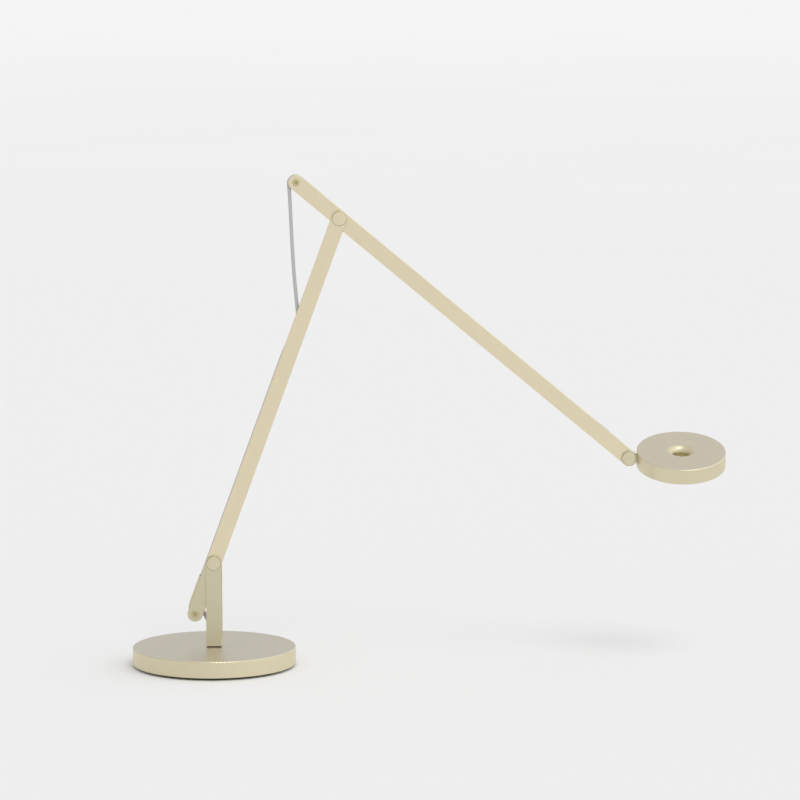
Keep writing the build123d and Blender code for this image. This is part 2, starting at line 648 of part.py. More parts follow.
def reflector_ring():
    outline = Polyline((40.3, 5.1), (41.1, 5.1), (42.3, -5.2), (41.5, -5.2), close=True)
    reflector = revolve(Plane.XZ * make_face(outline), Axis.Z)
    reflector -= block((-60, -30), (-8.2, 8.2), (-10, 10))
    return HEAD_LOCATION * reflector


def diffuser():
    return HEAD_LOCATION * ring(41.8, FUNNEL_RADIUS + FUNNEL_WALL + 0.2, -7.4, -5.4)


def bezel_ring():
    return HEAD_LOCATION * ring(HEAD_RADIUS - HEAD_WALL - 0.1, 40.6, -8.5, -7.55)


def centre_cover():
    """The plug under the funnel, with the seat that carries the button's spring."""
    cover = disc(FUNNEL_RADIUS + FUNNEL_WALL + 1.8, -8.3, -7.45)
    cover += disc(FUNNEL_RADIUS - 0.1, -7.5, SPRING_SEAT)
    return HEAD_LOCATION * cover


def dimmer_button():
    """The dished round button at the bottom of the funnel, with a short stem inside its spring."""
    button = disc(BUTTON_RADIUS, BUTTON_TOP - BUTTON_THICKNESS, BUTTON_TOP)
    button = fillet(button.edges().group_by(Axis.Z)[-1], 0.5)
    button -= Pos(0, 0, BUTTON_TOP + BUTTON_DISH_RADIUS - BUTTON_DISH) * Sphere(BUTTON_DISH_RADIUS)
    button += disc(1.8, SPRING_SEAT + 0.9, BUTTON_TOP - BUTTON_THICKNESS + 0.2)
    return HEAD_LOCATION * button


def button_spring():
    turns = 2
    wire = 0.2
    bottom = SPRING_SEAT + wire
    height = BUTTON_TOP - BUTTON_THICKNESS - wire - bottom
    helix = Helix(pitch=height / turns, height=height, radius=3.2)
    coil = sweep(Plane(helix @ 0, z_dir=helix % 0) * Circle(wire), path=helix, is_frenet=True)
    return HEAD_LOCATION * (Pos(0, 0, bottom) * coil)


def head_lead_route():
    """The lead inside the head, from the neck's inner end to the light board."""
    inner_end = -HEAD_REACH + 28.0
    points = [(inner_end, 0, 0), (inner_end + 7, 0, 0), (inner_end + 10.5, 0, 4.0)]
    return HEAD_LOCATION * FilletPolyline(*points, radius=[3.5]), LEAD_RADIUS - 0.2


# ---------------------------------------------------------------- the list of nodes
POST_PIVOT = Plane(origin=LOWER_PIVOT, x_dir=(1, 0, 0), z_dir=FRONT)

NODES = {
    "base_cover": base_cover,
    "base_ballast": base_ballast,
    "base_bottom_plate": base_bottom_plate,
    "base_screws": base_screws,
    "base_foot_pad": base_foot_pad,
    "cable_inlet": cable_inlet,
    "swivel_bush": swivel_bush,
    "post_fork": post_fork,
    "post_spigot": post_spigot,
    "swivel_washer": swivel_washer,
    "swivel_nut": swivel_nut,
    "lower_pivot_shaft": lambda: pivot_shaft(POST_PIVOT, LOWER_SHAFT_RADIUS, POST_HALF),
    "lower_caps": lambda: pivot_caps(POST_PIVOT, POST_HALF),
    "lower_friction_washers": lambda: friction_washers(POST_PIVOT, LOWER_SHAFT_RADIUS, LOWER_HALF),
    "lower_arm_bar": lower_arm_bar,
    "lower_arm_bush": lambda: pivot_bush(LOWER_PLANE, LOWER_SHAFT_RADIUS, LOWER_BUSH_WALL, LOWER_HALF),
    "lower_tail_plug": lower_tail_plug,
    "lower_tail_screw": lambda: tail_axle(LOWER_PLANE, LOWER_HALF, -LOWER_TAIL),
    "tail_cord_cover": tail_cord_cover,
    "cord_guide_pin": cord_guide_pin,
    "upper_pivot_shaft": lambda: pivot_shaft(LOWER_PLANE, UPPER_SHAFT_RADIUS, LOWER_HALF, LOWER_ARM_LENGTH),
    "upper_caps": lambda: pivot_caps(LOWER_PLANE, LOWER_HALF, LOWER_ARM_LENGTH),
    "upper_friction_washers": lambda: friction_washers(
        LOWER_PLANE, UPPER_SHAFT_RADIUS, UPPER_HALF, LOWER_ARM_LENGTH
    ),
    "upper_arm_bar": upper_arm_bar,
    "upper_arm_bush": lambda: pivot_bush(UPPER_PLANE, UPPER_SHAFT_RADIUS, UPPER_BUSH_WALL, UPPER_HALF),
    "head_end_bush": lambda: pivot_bush(
        UPPER_PLANE, UPPER_SHAFT_RADIUS, UPPER_BUSH_WALL, UPPER_HALF, UPPER_ARM_LENGTH
    ),
    "upper_tail_screw": lambda: tail_axle(UPPER_PLANE, UPPER_HALF, -UPPER_TAIL),
    "cord_pulley": cord_pulley,
    "spring_slider": spring_slider,
    "balance_spring": balance_spring,
    "spring_anchor_pin": spring_anchor_pin,
    "head_knuckle": head_knuckle,
    "head_pivot_shaft": lambda: pivot_shaft(KNUCKLE_PLANE, UPPER_SHAFT_RADIUS, HEAD_FORK_HALF),
    "head_caps": lambda: pivot_caps(KNUCKLE_PLANE, HEAD_FORK_HALF),
    "head_friction_washers": lambda: friction_washers(KNUCKLE_PLANE, UPPER_SHAFT_RADIUS, UPPER_HALF),
    "neck_spigot": neck_spigot,
    "neck_nut": neck_nut,
    "head_housing": head_housing,
    "led_board": led_board,
    "led_chips": led_chips,
    "reflector_ring": reflector_ring,
    "diffuser": diffuser,
    "bezel_ring": bezel_ring,
    "centre_cover": centre_cover,
    "dimmer_button": dimmer_button,
    "button_spring": button_spring,
}

# The cord and the thin leads: each is a round tube on its own route.
CORDS = {
    "base_cord": base_cord_route,
    "post_cord": post_cord_route,
    "tail_link_cord": tail_link_route,
    "lower_arm_cord": lower_arm_cord_route,
    "cord_guide_bend": guide_bend_route,
    "cord_stretch_lower": stretch_lower_route,
    "cord_stretch_upper": stretch_upper_route,
    "upper_arm_cord": upper_arm_cord_route,
    "arm_lead": arm_lead_route,
    "knuckle_lead": knuckle_lead_route,
    "neck_lead": neck_lead_route,
    "head_lead": head_lead_route,
}

os.makedirs("parts", exist_ok=True)
for node, make in NODES.items():
    export_step(make(), f"parts/{node}.step")
for node, route in CORDS.items():
    path, radius = route()
    tube = swept(path, radius)
    export_step(tube, f"parts/{node}.step")
    bends = [round(edge.radius, 1) for edge in path.edges().filter_by(GeomType.CIRCLE)]
    ideal = math.pi * radius**2 * path.length
    print(f"{node}: bend radii {bends}, volume {tube.volume:.1f}, section x length {ideal:.1f}")
start_point, end_point = cord_tangents()
print("nodes", len(NODES) + len(CORDS))
print("upper pivot", UPPER_PIVOT, "head pivot", HEAD_PIVOT)
print("taut stretch", start_point, end_point, "length", (end_point - start_point).length)
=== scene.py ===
"""Visual model of a balanced-arm desk lamp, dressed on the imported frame.

Lengths are metres in the frame's axes: +Z up, +X from the base towards the head, -Y towards the viewer.
"""

from __future__ import annotations

import json
import logging
import math
from dataclasses import dataclass
from enum import Enum
from typing import Any, Callable, Optional, Sequence

import bpy
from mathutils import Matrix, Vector


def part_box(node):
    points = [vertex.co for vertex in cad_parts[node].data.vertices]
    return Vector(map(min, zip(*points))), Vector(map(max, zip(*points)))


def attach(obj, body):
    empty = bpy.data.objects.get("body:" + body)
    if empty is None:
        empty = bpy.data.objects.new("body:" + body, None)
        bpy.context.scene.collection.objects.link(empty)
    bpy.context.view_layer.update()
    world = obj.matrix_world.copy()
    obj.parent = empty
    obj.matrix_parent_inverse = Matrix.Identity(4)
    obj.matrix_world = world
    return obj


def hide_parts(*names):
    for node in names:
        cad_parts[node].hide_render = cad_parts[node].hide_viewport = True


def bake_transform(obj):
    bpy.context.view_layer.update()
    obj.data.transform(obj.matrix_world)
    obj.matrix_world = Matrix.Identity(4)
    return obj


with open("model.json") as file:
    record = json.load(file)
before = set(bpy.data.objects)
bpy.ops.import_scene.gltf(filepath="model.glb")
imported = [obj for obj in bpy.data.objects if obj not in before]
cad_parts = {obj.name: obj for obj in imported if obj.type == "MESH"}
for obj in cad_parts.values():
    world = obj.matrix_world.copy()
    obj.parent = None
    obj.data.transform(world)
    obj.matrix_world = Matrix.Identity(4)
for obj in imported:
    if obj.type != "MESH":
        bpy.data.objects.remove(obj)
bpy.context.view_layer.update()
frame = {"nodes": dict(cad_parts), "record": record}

LOG = logging.getLogger("lamp")
MM = 0.001
SMOOTH_ANGLE = math.radians(35.0)
EDGE_STEPS = 3
LEVEL = Vector((1.0, 0.0, 0.0))
REARWARD = Vector((0.0, 1.0, 0.0))
UPWARD = Vector((0.0, 0.0, 1.0))

Triple = tuple[float, float, float]
Profile = Sequence[tuple[float, float]]


# ---------------------------------------------------------------- shader expressions
class Wire:
    """A shader socket or a plain number that adds Math nodes when it is used in an expression."""

    def __init__(self, shop: NodeShop, value: Any) -> None:
        """Wrap an output socket or a number of one node tree."""
        self.shop = shop
        self.value = value

    def _with(self, operation: str, *others: Any, clamp: bool = False) -> Wire:
        """Return a Math node's output, held between 0 and 1 if it is clamped."""
        settings = {"operation": operation, "use_clamp": clamp}
        return self.shop.node("ShaderNodeMath", settings, dict(enumerate((self, *others))))

    def __add__(self, other: Any) -> Wire:
        """Add."""
        return self._with("ADD", other)

    __radd__ = __add__

    def __sub__(self, other: Any) -> Wire:
        """Subtract."""
        return self._with("SUBTRACT", other)

    def __rsub__(self, other: Any) -> Wire:
        """Subtract from a number."""
        return Wire(self.shop, other)._with("SUBTRACT", self)

    def __mul__(self, other: Any) -> Wire:
        """Multiply."""
        return self._with("MULTIPLY", other)

    __rmul__ = __mul__

    def __truediv__(self, other: Any) -> Wire:
        """Divide."""
        return self._with("DIVIDE", other)

    def __pow__(self, other: Any) -> Wire:
        """Raise to a power."""
        return self._with("POWER", other)

    def sine(self) -> Wire:
        """Return the sine."""
        return self._with("SINE")

    def __lt__(self, other: Any) -> Wire:
        """Return 1 where the value is less."""
        return self._with("LESS_THAN", other)

    def held(self) -> Wire:
        """Return the value held between 0 and 1."""
        return self._with("ADD", 0.0, clamp=True)


class NodeShop:
    """Adds shader nodes to one node tree."""

    def __init__(self, tree: bpy.types.NodeTree) -> None:
        """Empty the tree of a material or a world."""
        self.tree = tree
        self.tree.nodes.clear()

    def node(self, kind: str, settings: Optional[dict[str, Any]] = None,
             inputs: Optional[dict[Any, Any]] = None, output: Any = 0) -> Wire:
        """Add a node, set it up and link it.

        Args:
            kind: The node's type.
            settings: Its own properties, set before its sockets.
            inputs: Values or wires for its sockets, by name or number.
            output: The output to hand back, by name or number.

        Returns:
            The chosen output.
        """
        made = self.tree.nodes.new(kind)
        for key, value in (settings or {}).items():
            setattr(made, key, value)
        for key, value in (inputs or {}).items():
            plain = value.value if isinstance(value, Wire) else value
            if isinstance(plain, bpy.types.NodeSocket):
                self.tree.links.new(plain, made.inputs[key])
            else:
                made.inputs[key].default_value = plain
        return Wire(self, made.outputs[output])

    def parts(self, vector: Wire) -> tuple[Wire, Wire, Wire]:
        """Return a vector's three values."""
        outputs = self.node("ShaderNodeSeparateXYZ", None, {"Vector": vector}).value.node.outputs
        return Wire(self, outputs["X"]), Wire(self, outputs["Y"]), Wire(self, outputs["Z"])

    def clouded(self, share: Wire, colour: Triple) -> Wire:
        """Return a colour that varies a little over a surface.

        Args:
            share: What it varies with, from 0 to 1.
            colour: Its middle tone.

        Returns:
            The colour.
        """
        made = self.tree.nodes.new("ShaderNodeValToRGB")
        elements = made.color_ramp.elements
        for index, (place, factor) in enumerate(((0.30, 0.975), (0.55, 1.0), (0.75, 1.015))):
            element = elements[index] if index < len(elements) else elements.new(place)
            element.position = place
            element.color = (*shade(colour, factor), 1.0)
        self.tree.links.new(share.value, made.inputs["Fac"])
        return Wire(self, made.outputs["Color"])

    def place(self, turn: Triple = (0.0, 0.0, 0.0), centre: Triple = (0.0, 0.0, 0.0)) -> Wire:
        """Return object coordinates about a centre, on the pattern's own axes.

        Args:
            turn: The angles of those axes, in radians.
            centre: The pattern's centre.

        Returns:
            The coordinates.
        """
        coordinates = self.node("ShaderNodeTexCoord", output="Object")
        moved = self.node("ShaderNodeVectorMath", {"operation": "SUBTRACT"}, {0: coordinates, 1: centre})
        return self.node("ShaderNodeMapping", {"vector_type": "TEXTURE"},
                         {"Vector": moved, "Rotation": turn}, "Vector")

    def noise(self, where: Wire, scale: float, detail: float = 2.0, roughness: float = 0.5) -> Wire:
        """Return noise between 0 and 1, of a frequency and with finer layers."""
        return self.node("ShaderNodeTexNoise", {"noise_dimensions": "3D"},
                         {"Vector": where, "Scale": scale, "Detail": detail, "Roughness": roughness},
                         "Fac")

    def mix(self, factor: Wire, first: Any, second: Any) -> Wire:
        """Return a mix of two colours, with the factor as the second one's share."""
        first, second = ((*part, 1.0) if isinstance(part, tuple) else part for part in (first, second))
        return self.node("ShaderNodeMix", {"data_type": "RGBA"}, {0: factor, 6: first, 7: second}, 2)

    def bump(self, height: Wire, depth: float, strength: float = 1.0) -> Wire:
        """Return a normal roughened by a height, which is in shares of a full depth."""
        return self.node("ShaderNodeBump", None,
                         {"Height": height, "Distance": depth, "Strength": strength}, "Normal")

    def finish(self, shader: Wire, output: str = "ShaderNodeOutputMaterial") -> None:
        """Link a shader to an output node of its kind."""
        out = self.tree.nodes.new(output)
        self.tree.links.new(shader.value, out.inputs["Surface"])


class MaterialShop(NodeShop):
    """Builds one node material."""

    def __init__(self, name: str) -> None:
        """Start an empty material.

        Args:
            name: The material's name.
        """
        self.material = bpy.data.materials.new(name)
        self.material.use_nodes = True
        super().__init__(self.material.node_tree)

    def surface(self, sockets: dict[str, Any]) -> bpy.types.Material:
        """Finish the material with a Principled shader of these sockets."""
        self.finish(self.node("ShaderNodeBsdfPrincipled", None, sockets, "BSDF"))
        return self.material


def linear(*screen: int) -> Triple:
    """Turn a screen colour's red, green and blue, from 0 to 255, into linear light."""
    shares = (value / 255.0 for value in screen)
    return tuple(s / 12.92 if s <= 0.04045 else ((s + 0.055) / 1.055) ** 2.4 for s in shares)


def shade(colour: Triple, factor: float) -> Triple:
    """Return a linear colour made lighter or darker by a factor."""
    return tuple(min(1.0, value * factor) for value in colour)


# ---------------------------------------------------------------- finishes
@dataclass(frozen=True)
class SatinAnodised:
    """Bead-blasted, anodised aluminium in a pale champagne tone."""

    name: str = "satin_anodised"
    colour: Triple = linear(226, 217, 187)
    roughness: float = 0.44

    def make(self) -> bpy.types.Material:
        """Return the material."""
        shop = MaterialShop(self.name)
        where = shop.place()
        blast = shop.noise(where, 5200.0, 2.0, 0.6)
        cloud = shop.noise(where, 22.0, 3.0, 0.55)
        handling = shop.noise(where, 95.0, 4.0, 0.6)
        tone, gloss, relief, lines = self._looks(shop, cloud * 0.6 + handling * 0.4, blast)
        grain = shop.mix(blast * 0.08 + lines, tone, shade(self.colour, 0.78))
        rough = (handling - 0.5) * 0.07 + (blast - 0.5) * 0.08 + gloss
        return shop.surface({
            "Base Color": grain, "Metallic": 1.0, "Roughness": rough,
            "Normal": shop.bump(relief, 0.00003, 0.4)})

    def _looks(self, shop: MaterialShop, share: Wire, blast: Wire) -> tuple[Wire, Any, Wire, Any]:
        """Return the colour, the mean roughness, the relief and how much tool marks darken it."""
        return shop.clouded(share, self.colour), self.roughness, blast, 0.0


@dataclass(frozen=True)
class TailShadeSatin(SatinAnodised):
    """The finish of a bar whose closed tail, beyond the pivot, carries painted shade: the darker tone of a tail
    that sits behind the post.
    """

    name: str = "satin_lower_bar"
    pivot: Triple = (0.0, 0.0, 0.0)
    tailwards: Triple = (0.0, 0.0, -1.0)
    tail_painted_shade: Triple = linear(216, 209, 180)
    fade: float = 10.0 * MM

    def _looks(self, shop: MaterialShop, share: Wire, blast: Wire) -> tuple[Wire, Any, Wire, Any]:
        """Paint shade on the tail beyond the pivot, in the darker tail tone.

        Args:
            shop: The material's nodes.
            share: What the colours vary with.
            blast: The blasted grain.

        Returns:
            The colour, the mean roughness, the relief and the darkening.
        """
        bar, *others = super()._looks(shop, share, blast)
        moved = shop.place(centre=tuple(c * MM for c in self.pivot))
        beyond = shop.node("ShaderNodeVectorMath", {"operation": "DOT_PRODUCT"},
                           {0: moved, 1: self.tailwards}, "Value")
        # painted shade: beyond the pivot the colour fades to the darker tail tone.
        return shop.mix((beyond / self.fade).held(), bar, shop.clouded(share, self.tail_painted_shade)), *others


@dataclass(frozen=True)
class TurnedSatin(SatinAnodised):
    """The same finish on a turned disc, whose flat face has fine lathe lines round its axis, less roughness, and
    a paler, greyer colour that is painted reflection.
    """

    name: str = "satin_turned"
    centre: Triple = (0.0, 0.0, 0.0)
    roll: float = 0.0
    face_height: float = 20.0
    face_colour_and_sheen: Triple = linear(226, 218, 202)
    face_roughness: float = 0.34
    line_scale: float = 900.0

    def _looks(self, shop: MaterialShop, share: Wire, blast: Wire) -> tuple[Wire, Any, Wire, Any]:
        """Give the flat face its own roughness and lathe lines, and a paler, greyer colour of painted
        reflection.

        Args:
            shop: The material's nodes.
            share: What the colours vary with.
            blast: The blasted grain.

        Returns:
            The colour, the mean roughness, the relief and the darkening.
        """
        x, y, height = shop.parts(shop.place((math.radians(self.roll), 0.0, 0.0),
                                             tuple(c * MM for c in self.centre)))
        face = ((height / MM - self.face_height + 0.5) / 0.4).held()
        reach = shop.node("ShaderNodeCombineXYZ", None, {"X": (x * x + y * y) ** 0.5}, "Vector")
        lathe = shop.noise(reach, self.line_scale, 3.0, 0.7) * face
        # painted reflection: the flat face's paler, greyer tone.
        tone = shop.mix(face, shop.clouded(share, self.colour), shop.clouded(share, self.face_colour_and_sheen))
        gloss = face * (self.face_roughness - self.roughness) + self.roughness
        return tone, gloss, blast * 0.6 + lathe * 0.4, (lathe - 0.45).held() * 0.5


class Weave(Enum):
    """What a braid's strands are laid out on."""

    ROUND_THE_CORD = "uv"
    IN_SPACE = "object"


@dataclass(frozen=True)
class BraidedSheath:
    """A grey textile braid over a round cord."""

    name: str = "braided_sheath"
    weave: Weave = Weave.ROUND_THE_CORD
    colour: Triple = linear(215, 216, 218)
    shadow: Triple = linear(154, 156, 160)
    around: float = 12.0
    pitch: float = 0.0011
    lean: float = 50.3

    def make(self) -> bpy.types.Material:
        """Return the material."""
        shop = MaterialShop(self.name)
        turns = 2.0 * math.pi
        if self.weave is Weave.ROUND_THE_CORD:
            side, run, _ = shop.parts(shop.node("ShaderNodeTexCoord", output="UV"))
            across = side * self.around
        else:
            side, depth, run = shop.parts(shop.place(turn=(0.0, math.radians(self.lean), 0.0)))
            across = (side + depth) / self.pitch
        left = ((across + run / self.pitch) * turns).sine()
        right = ((across - run / self.pitch) * turns).sine()
        weave = left * right * 0.5 + 0.5
        fluff = shop.noise(shop.place(), 3200.0, 3.0, 0.65)
        height = (weave * 0.8 + fluff * 0.2).held()
        cloud = shop.noise(shop.place(), 120.0, 2.0, 0.5)
        colour = shop.mix(height, self.shadow, self.colour)
        colour = shop.mix(cloud * 0.2, colour, shade(self.colour, 0.85))
        return shop.surface({
            "Base Color": colour, "Roughness": 0.92 - height * 0.14,
            "Specular IOR Level": 0.25, "Sheen Weight": 0.15,
            "Normal": shop.bump(height, 0.00012, 0.8)})


@dataclass(frozen=True)
class TurnedMetal:
    """Bare metal with fine turning marks about an axis."""

    name: str
    colour: Triple
    roughness: float = 0.30
    mark_scale: float = 26000.0

    def make(self) -> bpy.types.Material:
        """Return the material."""
        shop = MaterialShop(self.name)
        place = shop.place()
        x, y, z = shop.parts(place)
        radius = (x * x + y * y) ** 0.5
        tool = ((radius + z) * self.mark_scale).sine() * 0.5 + 0.5
        wander = shop.noise(place, 260.0, 3.0, 0.55)
        height = tool * 0.5 + wander * 0.5
        colour = shop.mix(wander * 0.5 + tool * 0.2, self.colour, shade(self.colour, 0.72))
        return shop.surface({
            "Base Color": colour, "Metallic": 1.0, "Roughness": wander * 0.16 + self.roughness - 0.06,
            "Normal": shop.bump(height, 0.00003, 0.5)})


@dataclass(frozen=True)
class MouldedPlastic:
    """Moulded plastic or rubber with a fine spark-eroded grain."""

    name: str
    colour: Triple
    roughness: float = 0.55
    grain: float = 1900.0
    depth: float = 0.00005

    def make(self) -> bpy.types.Material:
        """Return the material."""
        shop = MaterialShop(self.name)
        where = shop.place()
        grain = shop.noise(where, self.grain, 2.0, 0.6)
        cloud = shop.noise(where, 60.0, 3.0, 0.5)
        colour = shop.mix(cloud * 0.5 + grain * 0.3, self.colour, shade(self.colour, 0.80))
        return shop.surface({
            "Base Color": colour, "Roughness": (grain - 0.5) * 0.18 + self.roughness,
            "Specular IOR Level": 0.45,
            "Normal": shop.bump(grain, self.depth, 0.6)})


@dataclass(frozen=True)
class CastBallast:
    """Rough, dull cast iron."""

    name: str = "cast_ballast"
    colour: Triple = linear(86, 86, 88)

    def make(self) -> bpy.types.Material:
        """Return the material."""
        shop = MaterialShop(self.name)
        where = shop.place()
        pits = shop.node("ShaderNodeTexVoronoi", {"feature": "F1"}, {"Vector": where, "Scale": 420.0},
                         "Distance")
        rough = shop.noise(where, 150.0, 4.0, 0.6)
        colour = shop.mix(rough, shade(self.colour, 0.7), shade(self.colour, 1.3))
        return shop.surface({
            "Base Color": colour, "Metallic": 0.7, "Roughness": rough * 0.2 + 0.5,
            "Normal": shop.bump(pits * 0.6 + rough * 0.4, 0.0002, 0.7)})


@dataclass(frozen=True)
class OpalLens:
    """Satin opal plastic that a ring of lamps lights from behind."""

    name: str = "opal_lens"
    colour: Triple = linear(238, 237, 231)

    def make(self) -> bpy.types.Material:
        """Return the material."""
        shop = MaterialShop(self.name)
        where = shop.place()
        haze = shop.noise(where, 700.0, 3.0, 0.6)
        flow = shop.noise(where, 40.0, 2.0, 0.5)
        colour = shop.mix(flow * 0.5, self.colour, shade(self.colour, 0.93))
        return shop.surface({
            "Base Color": colour, "Roughness": haze * 0.14 + 0.30, "Specular IOR Level": 0.5,
            "Normal": shop.bump(haze, 0.00003, 0.4)})


@dataclass(frozen=True)
class PrintedBoard:
    """White solder mask with faint copper tracks under it."""

    name: str = "printed_board"
    colour: Triple = linear(236, 236, 232)

    def make(self) -> bpy.types.Material:
        """Return the material."""
        shop = MaterialShop(self.name)
        where = shop.place()
        tracks = shop.node("ShaderNodeTexVoronoi", {"feature": "DISTANCE_TO_EDGE"},
                           {"Vector": where, "Scale": 160.0}, "Distance")
        edge = (1.0 - tracks * 6.0).held()
        fine = shop.noise(where, 900.0, 2.0, 0.5)
        colour = shop.mix(edge * 0.35, self.colour, linear(206, 214, 202))
        return shop.surface({
            "Base Color": colour, "Roughness": fine * 0.1 + 0.4,
            "Normal": shop.bump(edge * 0.7 + fine * 0.3, 0.00003, 0.5)})


# ---------------------------------------------------------------- the lamp's own places
def beside(way: Vector, along: float, off: float) -> Vector:
    """Return a step along a direction of the lamp's middle plane, and off to its left."""
    return way * along + Vector((-way.z, 0.0, way.x)) * off


@dataclass(frozen=True)
class LampPlan:
    """The places and directions that the sub-assemblies share, in millimetres and degrees."""

    lower_pivot: Triple = (0.0, 0.0, 115.0)
    lower_lean: float = 20.09
    lower_length: float = 404.5
    upper_drop: float = 39.7
    upper_length: float = 412.66
    upper_tail: float = 61.0
    lower_tail: float = 60.6
    post_half: float = 8.2
    lower_half: float = 5.8
    upper_half: float = 3.6
    head_reach: float = 57.4
    head_roll: float = 18.0
    cord_radius: float = 2.0
    guide_along: float = 283.0
    guide_offset: float = 6.9
    guide_bend: float = 3.25
    pulley_bend: float = 8.0

    @property
    def lower_way(self) -> Vector:
        """The direction up the lower arm."""
        lean = math.radians(self.lower_lean)
        return Vector((math.sin(lean), 0.0, math.cos(lean)))

    @property
    def upper_way(self) -> Vector:
        """The direction along the upper arm, towards the head."""
        drop = math.radians(self.upper_drop)
        return Vector((math.cos(drop), 0.0, -math.sin(drop)))

    @property
    def upper_pivot(self) -> Vector:
        """The elbow's axis."""
        return Vector(self.lower_pivot) + self.lower_way * self.lower_length

    @property
    def head_pivot(self) -> Vector:
        """The head's tilting axis."""
        return self.upper_pivot + self.upper_way * self.upper_length

    @property
    def head_centre(self) -> Vector:
        """The middle of the round head."""
        return self.head_pivot + Vector((self.head_reach, 0.0, 0.0))

    @property
    def head_axis(self) -> Vector:
        """The direction out of the head's dished side."""
        roll = math.radians(self.head_roll)
        return Vector((0.0, -math.sin(roll), math.cos(roll)))

    def on_lower(self, along: float, rear: float) -> Vector:
        """Return the point so far up the lower arm from its pivot, and rearward of its axis."""
        return Vector(self.lower_pivot) + beside(self.lower_way, along, rear)

    def on_upper(self, along: float, above: float) -> Vector:
        """Return the point so far along the upper arm from the elbow, and above its axis."""
        return self.upper_pivot + beside(self.upper_way, along, above)

    def stretch(self) -> tuple[Vector, Vector, Vector]:
        """Find the line that the taut cord takes from the guide pin to the tail pulley.

        Returns:
            Where it leaves the pin, where it meets the pulley, and its direction.
        """
        pin = self.on_lower(self.guide_along, self.guide_offset)
        pulley = self.on_upper(-self.upper_tail, 0.0)
        across = pulley - pin
        turn = math.asin((self.guide_bend + self.pulley_bend) / across.length)
        angle = math.atan2(across.z, across.x) + turn
        right = Vector((math.sin(angle), 0.0, -math.cos(angle)))
        leaves, meets = pin + right * self.guide_bend, pulley - right * self.pulley_bend
        return leaves, meets, (meets - leaves).normalized()


PLAN = LampPlan()


# ---------------------------------------------------------------- the bench
def select_only(*pieces: bpy.types.Object) -> None:
    """Leave object mode with only these pieces selected, and the first of them active.

    Args:
        *pieces: The pieces, or none.
    """
    if bpy.context.object is not None and bpy.context.object.mode != "OBJECT":
        bpy.ops.object.mode_set(mode="OBJECT")
    for item in list(bpy.context.selected_objects):
        item.select_set(False)
    for piece in pieces:
        piece.select_set(True)
    bpy.context.view_layer.objects.active = pieces[0] if pieces else None


def linked(name: str, data: bpy.types.ID) -> bpy.types.Object:
    """Put data in the scene as a new object.

    Args:
        name: The object's name.
        data: A mesh, curve, camera or light.

    Returns:
        The object.
    """
    made = bpy.data.objects.new(name, data)
    bpy.context.scene.collection.objects.link(made)
    return made


def dress(node: str, material: bpy.types.Material) -> None:
    """Give a CAD node a material.

    Args:
        node: The node's name.
        material: The material.
    """
    data = frame["nodes"][node].data
    data.materials.clear()
    data.materials.append(material)


def break_edges(piece: bpy.types.Object, width: float, limit: float = 35.0) -> None:
    """Bevel the sharp edges of a piece.

    Args:
        piece: The active object, in object mode.
        width: The bevel's width, in millimetres.
        limit: The least angle that is broken, in degrees.
    """
    edge = piece.modifiers.new("broken_edges", "BEVEL")
    edge.width = width * MM
    edge.segments = EDGE_STEPS
    edge.limit_method = "ANGLE"
    edge.angle_limit = math.radians(limit)
    bpy.ops.object.modifier_apply(modifier=edge.name)


def settle(piece: bpy.types.Object, place: Vector, turn: Any) -> None:
    """Put a piece's place and turn into its mesh, and smooth its round faces.

    Args:
        piece: The active object, in object mode.
        place: Its place, in millimetres.
        turn: Its angles.
    """
    piece.location = place * MM
    piece.rotation_euler = turn
    bpy.ops.object.transform_apply(location=True, rotation=True, scale=True)
    bpy.ops.object.shade_smooth_by_angle(angle=SMOOTH_ANGLE)


def stand_in(piece: bpy.types.Object, slot: str, *nodes: str) -> None:
    """Let a finished piece take the place of CAD nodes.

    Args:
        piece: The piece.
        slot: Its material slot in the record; not used.
        *nodes: The nodes that it replaces.
    """
    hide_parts(*nodes)
    LOG.info("%s for %s, %d faces", piece.name, ", ".join(nodes), len(piece.data.polygons))


def pick(piece: bpy.types.Object, test: Callable[[bpy.types.MeshPolygon], bool]) -> None:
    """Enter edit mode with only some faces selected.

    Args:
        piece: The active object, in object mode.
        test: Whether a face is to be selected.
    """
    bpy.ops.object.mode_set(mode="EDIT")
    bpy.ops.mesh.select_mode(type="FACE")
    bpy.ops.mesh.select_all(action="DESELECT")
    bpy.ops.object.mode_set(mode="OBJECT")
    for face in piece.data.polygons:
        face.select = test(face)
    bpy.ops.object.mode_set(mode="EDIT")


